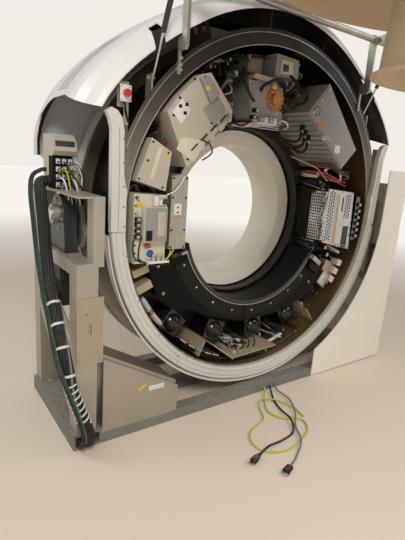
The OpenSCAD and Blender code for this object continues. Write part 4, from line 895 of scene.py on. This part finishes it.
def makeWires():
    bm = bmesh.new()
    z = axisZ
    runs = [
        (0, 3.0, [(330, -150, 250), (372, -226, 246), (420, -236, 236), (480, -230, 222), (560, -214, 200),
                  (640, -190, 196)]),
        (0, 2.6, [(340, -140, 236), (390, -224, 228), (450, -236, 214), (520, -226, 196), (610, -214, 176)]),
        (1, 5.0, [(360, -120, 300), (420, -236, 290), (490, -250, 262), (560, -240, 250), (640, -200, 240)]),
        (1, 5.0, [(372, -120, 290), (430, -228, 276), (500, -240, 250), (580, -230, 236), (650, -190, 226)]),
        (2, 2.4, [(150, -200, 316), (230, -228, 290), (330, -232, 262), (430, -224, 200)]),
        (3, 2.2, [(470, -216, 120), (430, -226, 60), (426, -196, -20), (440, -210, -90), (476, -216, -120)]),
        (4, 2.2, [(470, -216, 100), (420, -220, 30), (430, -190, -50), (450, -206, -110), (480, -216, -130)]),
        (4, 3.0, [(-620, -256, 110), (-590, -270, 128), (-560, -268, 160), (-540, -262, 190)]),
        (5, 3.0, [(-612, -256, -170), (-590, -262, -150), (-566, -258, -110), (-560, -262, -60)]),
        (5, 2.6, [(-640, -262, -180), (-612, -276, -160), (-590, -262, -130)]),
        (6, 3.6, [(-736, -268, -60), (-752, -276, -110), (-742, -262, -160), (-706, -256, -178)]),
        (6, 3.2, [(-744, -268, -36), (-770, -262, -80), (-762, -256, -150), (-726, -250, -176)]),
        (1, 3.6, [(-470, -262, 350), (-430, -276, 330), (-410, -266, 296), (-440, -240, 262)]),
        (6, 5.0, [(-300, -120, 452), (-270, -210, 440), (-230, -236, 430), (-190, -246, 452)]),
        (4, 4.0, [(-36, -246, 476), (20, -262, 470), (70, -230, 452), (120, -150, 448)]),
        (6, 6.0, [(140, -200, 640), (176, -236, 620), (200, -200, 590), (190, -120, 560)])]
    for slot, radius, path in runs:
        addTube(bm, smoothPath([(x, y, z + h) for x, y, h in path], 7), radius, slot, 8)
    rng = random.Random(7)
    for k in range(9):
        x, low = 452 + rng.random() * 12, z - 120 + k * 26
        addTube(bm, smoothPath([(x, -212, low), (x - 22 - rng.random() * 12, -220, low + 8), (x - 14, -224, low + 30),
                                (x + 4, -214, low + 40)], 5), 2.2, rng.choice((3, 4, 6)), 6)
    makePiece(bm, "rotorWires", "rotor", [redWire, redOxide, pinkStripe, greyRubber, whitePlastic, yellowLead,
              blackRubber], angle=60)


makeWires()


# ---- hoses, relays and small mounts that fill the gaps between the rotor's units
clutter = {
    "gaps": [
        (108, 124, 480, 775, 16, 12), (69, 85, 540, 775, 14, 12), (17, 30, 470, 770, 14, 12),
        (-28, -17, 470, 770, 10, 10), (168, 178, 640, 776, 5, 4), (138, 158, 680, 776, 10, 8),
        (186, 194, 600, 776, 4, 5), (-100, -92, 700, 776, 3, 3), (-74, -66, 700, 776, 3, 3)],
    "rims": [
        (36, 66, 770, -70), (38, 64, 756, -120), (88, 124, 772, -90), (90, 122, 762, -150), (96, 120, 748, -40),
        (128, 152, 774, -120), (206, 226, 772, -60), (240, 300, 776, -200), (300, 332, 774, -90),
        (302, 330, 762, -140)],
    "seed": 11}


def makeClutter():
    rng = random.Random(clutter["seed"])
    bm = bmesh.new()
    for a0, a1, r0, r1, hoses, blocks in clutter["gaps"]:
        for _ in range(blocks):
            angle, radius = rng.uniform(a0, a1), rng.uniform(r0 + 20, r1 - 30)
            wide, tall, front = rng.uniform(14, 34), rng.uniform(12, 30), backPlate - rng.uniform(60, 190)
            turned = ringFrame(angle, radius, 0)
            slot = rng.choice((0, 0, 1, 2, 3))
            addBox(bm, (-wide / 2, front, -tall / 2), (wide / 2, backPlate, tall / 2), slot, turned)
            addBox(bm, (-wide / 3, front - 6, -tall / 3), (wide / 3, front, tall / 3), rng.choice((1, 3, 4)), turned)
            addScrew(bm, turned @ Vector((wide * 0.36, front, tall * 0.36)), 2.2, 2, 3)
        for _ in range(hoses):
            radius, angle = rng.uniform(r0, r1), rng.uniform(a0, a1)
            points = [(angle, radius, 16)]
            for _ in range(4):
                radius = min(max(radius + rng.uniform(-70, 70), r0), r1)
                angle = min(max(angle + rng.uniform(-5, 5), a0), a1)
                points.append((angle, radius, rng.uniform(-190, -60)))
            points.append((min(max(angle + 2, a0), a1), radius, 16))
            size = rng.choice((3, 3.5, 5, 7))
            addTube(bm, smoothPath([ringPoint(a, r, y) for a, r, y in points]), size,
                    rng.choice((0, 0, 0, 5, 6, 4)), 8)
    for a0, a1, radius, y in clutter["rims"]:
        addTube(bm, [ringPoint(a0, radius - 4, 16)] + ringPath(a0 + 1, a1 - 1, radius, y, 20)
                + [ringPoint(a1, radius - 4, 16)], 5.5, 0, 8)
        for k in range(4):
            angle = a0 + 3 + (a1 - a0 - 6) * k / 3
            turned = ringFrame(angle)
            addBox(bm, (radius - 8, y - 7, -4), (radius + 7, y + 7, 4), 3, turned)
            addBox(bm, (radius - 3, y, -2), (radius + 1, 20, 2), 3, turned)
    for k in range(26):
        angle = 202 + k * 5.2
        if any(abs(angle - 360 - b) < 7 for b, _ in blowerFacts["spots"]):
            continue
        turned = ringFrame(angle)
        front = backPlate - rng.uniform(70, 150)
        addBox(bm, (752, front, -9), (780, backPlate, 9), rng.choice((0, 1, 3, 4)), turned)
        addBox(bm, (756, front - 8, -6), (774, front, 6), rng.choice((0, 3, 4)), turned)
    makePiece(bm, "rotorClutter", "rotor", [blackRubber, blackMatt, greyPaint, brightSteel, whitePlastic,
              greyRubber, redOxide], angle=45)


makeClutter()
print("rotor dressed")


# ---- left column: bundle strands, ties and spiral wrap, then terminals and looped wires
bundle = {
    "route": [
        (-1032, 60, 1085), (-1058, 44, 1072), (-1066, 0, 1020), (-1066, -36, 890), (-1066, -70, 775),
        (-1066, -130, 665), (-1066, -200, 565), (-1064, -260, 470), (-1058, -300, 390), (-1050, -330, 300),
        (-1020, -346, 200), (-990, -352, 110), (-980, -338, 52)],
    "hose": [
        (-1034, 96, 1130), (-1080, 76, 1104), (-1100, 34, 1040), (-1100, 0, 930), (-1100, -40, 810),
        (-1100, -96, 700), (-1100, -170, 600), (-1100, -240, 500), (-1096, -310, 400), (-1072, -366, 300),
        (-1040, -376, 200), (-1016, -370, 110)],
    "ties": [610, 540, 455, 360], "wrap": (150, 330)}


def makeBundle():
    bm = bmesh.new()
    path = smoothPath(bundle["route"], 8)
    lengths = pathLengths(path)
    strands = 11
    for k in range(strands):
        start = 2 * math.pi * k / strands
        points = []
        for i in range(2, len(path) - 2, 2):
            ahead = (path[i + 1] - path[i - 1]).normalized()
            side = ahead.cross(Vector((0.7, -0.7, 0.1))).normalized()
            other = ahead.cross(side)
            a = start + lengths[i] * 0.0042
            points.append(path[i] + 19.2 * (math.cos(a) * side + math.sin(a) * other))
        addTube(bm, smoothPath(points, 2), 5.6, 1 if k == 3 else 0, 8)
    for height in bundle["ties"]:
        i = min(range(1, len(path) - 1), key=lambda n: abs(path[n].z - height))
        run = (path[i + 1] - path[i - 1]).normalized()
        addRod(bm, path[i] - run * 5, path[i] + run * 5, 26, 2, 28)
        addRod(bm, path[i] + Vector((-24, -6, 0)), path[i] + Vector((-31, -8, 0)), 5, 2, 8)
    low, high = bundle["wrap"]
    part = [p for p in path if low <= p.z <= high]
    addSpiral(bm, part, 25.6, 7, 3.6, 2, 22)
    makePiece(bm, "bundleStrands", "stand", [blackRubber, greyRubber, whitePlastic], angle=60)
    bm = bmesh.new()
    hose = smoothPath(bundle["hose"])
    addSpiral(bm, hose, 7.3, 62, 1.7, 0, 12)
    for across, out in ((4.4, -7.0), (8.0, -3.0)):
        addTube(bm, [p + Vector((across, out, 0)) for p in hose], 2.4, 0, 8)
    makePiece(bm, "hoseSpiral", "stand", [greenHose], angle=60)


makeBundle()


def makeTerminals():
    bm = bmesh.new()
    x0, z0 = -970, 1056
    for row in range(4):
        for column in range(3):
            x, z = x0 - 34 + column * 25, z0 + 6 + row * 32
            addBox(bm, (x + 1, -1, z + 2), (x + 17, 4.2, z + 22), 0)
            addBox(bm, (x + 4, -4, z + 5), (x + 14, -1, z + 12), 1)
            addScrew(bm, (x + 9, -1, z + 18), 2.4, 2, 2)
    addBox(bm, (x0 + 43, -6, z0 + 4), (x0 + 47.4, 40, z0 + 128), 0)
    addPrism(bm, [(x0 - 40, 1216), (x0 + 40, 1216), (x0 + 40, 1252), (x0 - 40, 1252)], -14, -9.5, 1, 0)
    for i in range(7):
        x = x0 - 30 + i * 10
        depth, drop = -34 - (i % 3) * 12, 30 + (i * 17) % 40
        path = [(x, -2, z0 + 14 + (i % 4) * 32), (x + 6, depth, z0 + 10 + (i % 4) * 26),
                (x + 24, depth - 8, z0 - 8 - drop), (x + 34, -30, z0 - 60 - drop), (-914, -20, z0 - 90 - drop)]
        addTube(bm, smoothPath(path), 2.6 + (i % 2), 3 + i % 4, 8)
    for i in range(4):
        path = [(x0 + 44, 10 + i * 8, z0 + 120 - i * 22), (x0 + 58, -26 - i * 5, z0 + 96 - i * 20),
                (x0 + 56, -52, z0 + 30 - i * 12), (x0 + 40, -40, z0 - 40 - i * 16), (-906, 0, z0 - 110 - i * 10)]
        addTube(bm, smoothPath(path), 3.4, 3 + (i + 1) % 4, 8)
    rng = random.Random(5)
    for i in range(16):
        x, y, h = rng.uniform(-1004, -926), rng.uniform(-6, 30), z0 + rng.uniform(6, 120)
        low = h - rng.uniform(60, 210)
        out = rng.uniform(-62, -26)
        path = [(x, y if x > -924 else -3, h), (x + rng.uniform(4, 16), out, h + rng.uniform(-12, 16)),
                (rng.uniform(-930, -902), out + rng.uniform(-8, 14), (h + low) / 2),
                (rng.uniform(-934, -900), -30, low), (rng.uniform(-928, -906), 8, low - 30)]
        addTube(bm, smoothPath(path), rng.choice((1.8, 2.2, 2.8)), rng.choice((3, 3, 4, 5, 6, 6)), 7)
    for i in range(5):
        z1 = z0 - 14 - i * 22
        addBox(bm, (-934 + i * 3, -44, z1 - 8), (-910, -26, z1 + 8), (6, 1, 2, 6, 1)[i])
    makePiece(bm, "terminalParts", "stand", [whitePlastic, darkGlass, brightSteel, greyRubber, whitePlastic,
              yellowLead, blackRubber], angle=45)


makeTerminals()


def makeStandParts():
    bm = bmesh.new()
    for side in (-1, 1):
        hub = Vector((side * 1028, 0, axisZ))
        addRod(bm, hub - Vector((side * 34, 0, 0)), hub, 31, 1, 40)
        addRod(bm, hub, hub + Vector((side * 3, 0, 0)), 24, 2, 40)
        for k in range(6):
            a = math.radians(k * 60 + 15)
            addScrew(bm, (side * 1000, 62 * math.cos(a), axisZ + 62 * math.sin(a)), 6, 6, 1, (side, 0, 0))
        for y in (-78, 78):
            addScrew(bm, (side * 974, y, 826), 9, 9, 1, (0, 0, 1))
        for y in (-292, 222):
            addScrews(bm, [(side * 978, h) for h in (92, 150, 690, 760)], y, 5.5, 5, 1, 0)
    for k in range(9):
        addBox(bm, (-1022 + 12 * k, -307.5, 388), (-1018 + 12 * k, -306, 660), 3)
    addScrews(bm, [(x, h) for h in (398, 650) for x in (-1012, -922)], -306, 4, 3.4, 1, 0)
    addBox(bm, (-690, -305.4, 190), (-610, -304, 214), 4)
    addPrism(bm, [(-742, 200), (-700, 222), (-700, 236), (-742, 214)], -305.2, -304, 5, 0)
    addScrews(bm, [(-905, 60), (-905, 160), (-545, 60), (-545, 330), (-720, 60)], -304, 4.4, 4, 1, 0)
    makePiece(bm, "standParts", "stand", [zincPlate, zincPlate, brightSteel, standPaint, whitePlastic, yellowLabel],
              0.3)


makeStandParts()


# ---- gantry: screws, thin bright bands on the drum, the switch box's face and lead
def makeGantryParts():
    bm = bmesh.new()
    z = axisZ
    for side in (-1, 1):
        addScrews(bm, [(side * 578, h) for h in (1562, 1580, 1606)], -245, 5, 5, 0, 0)
        addScrew(bm, (side * 700, -200, 1518), 8, 7, 0, (side, 0, 0))
        addScrews(bm, [(side * (816 + max(0, h) * 0.03), h) for h in (-20, 60, 140, 230, 320, 400)], -262, 3.4,
                  2.4, 1)
    for angle in range(190, 356, 15):
        addScrew(bm, ringPoint(angle, 812.5, -262), 3.2, 2.2, 1)
    addArc(bm, [(798.4, -236.6), (802, -236.6), (802, -235), (798.4, -235)], 4, 8, 176)
    addArc(bm, [(850, -236.2), (853, -236.2), (853, -235), (850, -235)], 4, 20, 160)
    addBox(bm, (-846, -262.4, z + 455), (-800, -261, z + 514), 2)
    addScrews(bm, [(x, h) for x in (-840, -806) for h in (461, 508)], -262.4, 2.6, 2, 1)
    addTube(bm, smoothPath([(-822, -250, z + 459), (-818, -252, z + 430), (-806, -240, z + 404),
                            (-800, -236, z + 384)]), 4, 3, 10)
    makePiece(bm, "gantryParts", "gantry", [zincPlate, greyPaint, whitePlastic, blackRubber, brightSteel], 0.3)


makeGantryParts()


# ---- painted shade: dark strips along the dome's vent grooves, on the curve that the dome's side follows
domeFacts = {"half": 1036, "shoulder": 1024, "foot": 300, "bend": 0.95}


def domeSide(inset, t):
    wide, shoulder = domeFacts["half"] - inset, domeFacts["shoulder"] - inset
    top = (shoulder * 0.5, shoulder * 0.8660)  # on the round shoulder, 60 degrees up
    run = (wide - top[0]) * domeFacts["bend"]
    bend = (top[0] + run, top[1] - run * 0.57735)
    return [top[n] * (1 - t) ** 2 + bend[n] * 2 * t * (1 - t) + (wide, domeFacts["foot"])[n] * t * t for n in (0, 1)]


def makeVents():
    bm = bmesh.new()
    for side in (-1, 1):
        for y in range(-20, 112, 22):
            for high, low, first, last in ((2.3, 3.2, 0, 3), (-0.4, 1.5, 3, 8)):
                loops = []
                for t in (i / 12 for i in range(first, last + 1)):
                    (x0, z0), (x1, z1) = domeSide(high, t), domeSide(low, t)
                    loops.append([Vector((side * x, y + dy, axisZ + z)) for x, z, dy in
                                  ((x0, z0, 0.8), (x0, z0, 5.2), (x1, z1, 5.2), (x1, z1, 0.8))])
                addLoops(bm, loops)
    makePiece(bm, "ventShade", "gantry", [ventShadePaint])


makeVents()
print("stand and gantry dressed")


# ---- floor, backdrop and lamps
studio = {"floor": (232, 218, 202), "floorHeight": -0.0008, "floorHalf": 30.0, "floorRough": 0.55,
          "world": (240, 236, 230), "worldStrength": 0.46, "fade": (2.6, 7.0),
          "lamps": [((-2.4, -3.4, 3.6), 1.4, 102), ((2.6, -3.2, 3.8), 1.8, 64), ((-3.2, 1.2, 3.4), 1.6, 30)],
          "lampColour": (1.0, 0.965, 0.92), "aim": (0, -0.3, 0.9)}


def addFloor():
    half, height = studio["floorHalf"], studio["floorHeight"]
    mesh = bpy.data.meshes.new("floor")
    corners = [(x * half, y * half, height) for x, y in ((-1, -1), (1, -1), (1, 1), (-1, 1))]
    mesh.from_pydata(corners, [], [(0, 1, 2, 3)])
    floor = bpy.data.objects.new("floor", mesh)
    bpy.context.scene.collection.objects.link(floor)
    material = bpy.data.materials.new("floorPaint")
    material.use_nodes = True
    tree, black = material.node_tree, (0, 0, 0, 1)
    mask = share(tree, vectorMaths(tree, "LENGTH", objectPlace(tree)), *studio["fade"])
    for label, value in {"Roughness": studio["floorRough"], "Emission Strength": 1.0,
                         "Base Color": mixColour(tree, mask, rgb(*studio["floor"]), black),
                         "Emission Color": mixColour(tree, mask, black, rgb(*studio["world"]))}.items():
        feed(tree, tree.nodes["Principled BSDF"].inputs[label], value)
    mesh.materials.append(material)


def addWorld():  # brighter to the camera than as a light
    world = bpy.data.worlds.new("studio")
    bpy.context.scene.world = world
    world.use_nodes = True
    tree, light = world.node_tree, rgb(*studio["world"])
    sky = tree.nodes["Background"]
    feed(tree, sky.inputs["Color"], light)
    feed(tree, sky.inputs["Strength"], studio["worldStrength"])
    seen = put(tree, "ShaderNodeBackground", Color=light, Strength=1.0)
    rays = put(tree, "ShaderNodeLightPath")
    mixer = put(tree, "ShaderNodeMixShader", rays.outputs["Is Camera Ray"], sky.outputs[0], seen.outputs[0])
    feed(tree, tree.nodes["World Output"].inputs[0], mixer.outputs[0])


def addLamps():
    for i, (place, size, power) in enumerate(studio["lamps"]):
        data = bpy.data.lights.new("lamp%d" % i, "AREA")
        data.shape, data.size, data.energy, data.color = "DISK", size, power, studio["lampColour"]
        lamp = bpy.data.objects.new("lamp%d" % i, data)
        bpy.context.scene.collection.objects.link(lamp)
        lamp.location = place
        lamp.rotation_mode = "QUATERNION"
        lamp.rotation_quaternion = (Vector(studio["aim"]) - Vector(place)).to_track_quat("-Z", "Y")


addFloor()
addWorld()
addLamps()
print("studio lit")
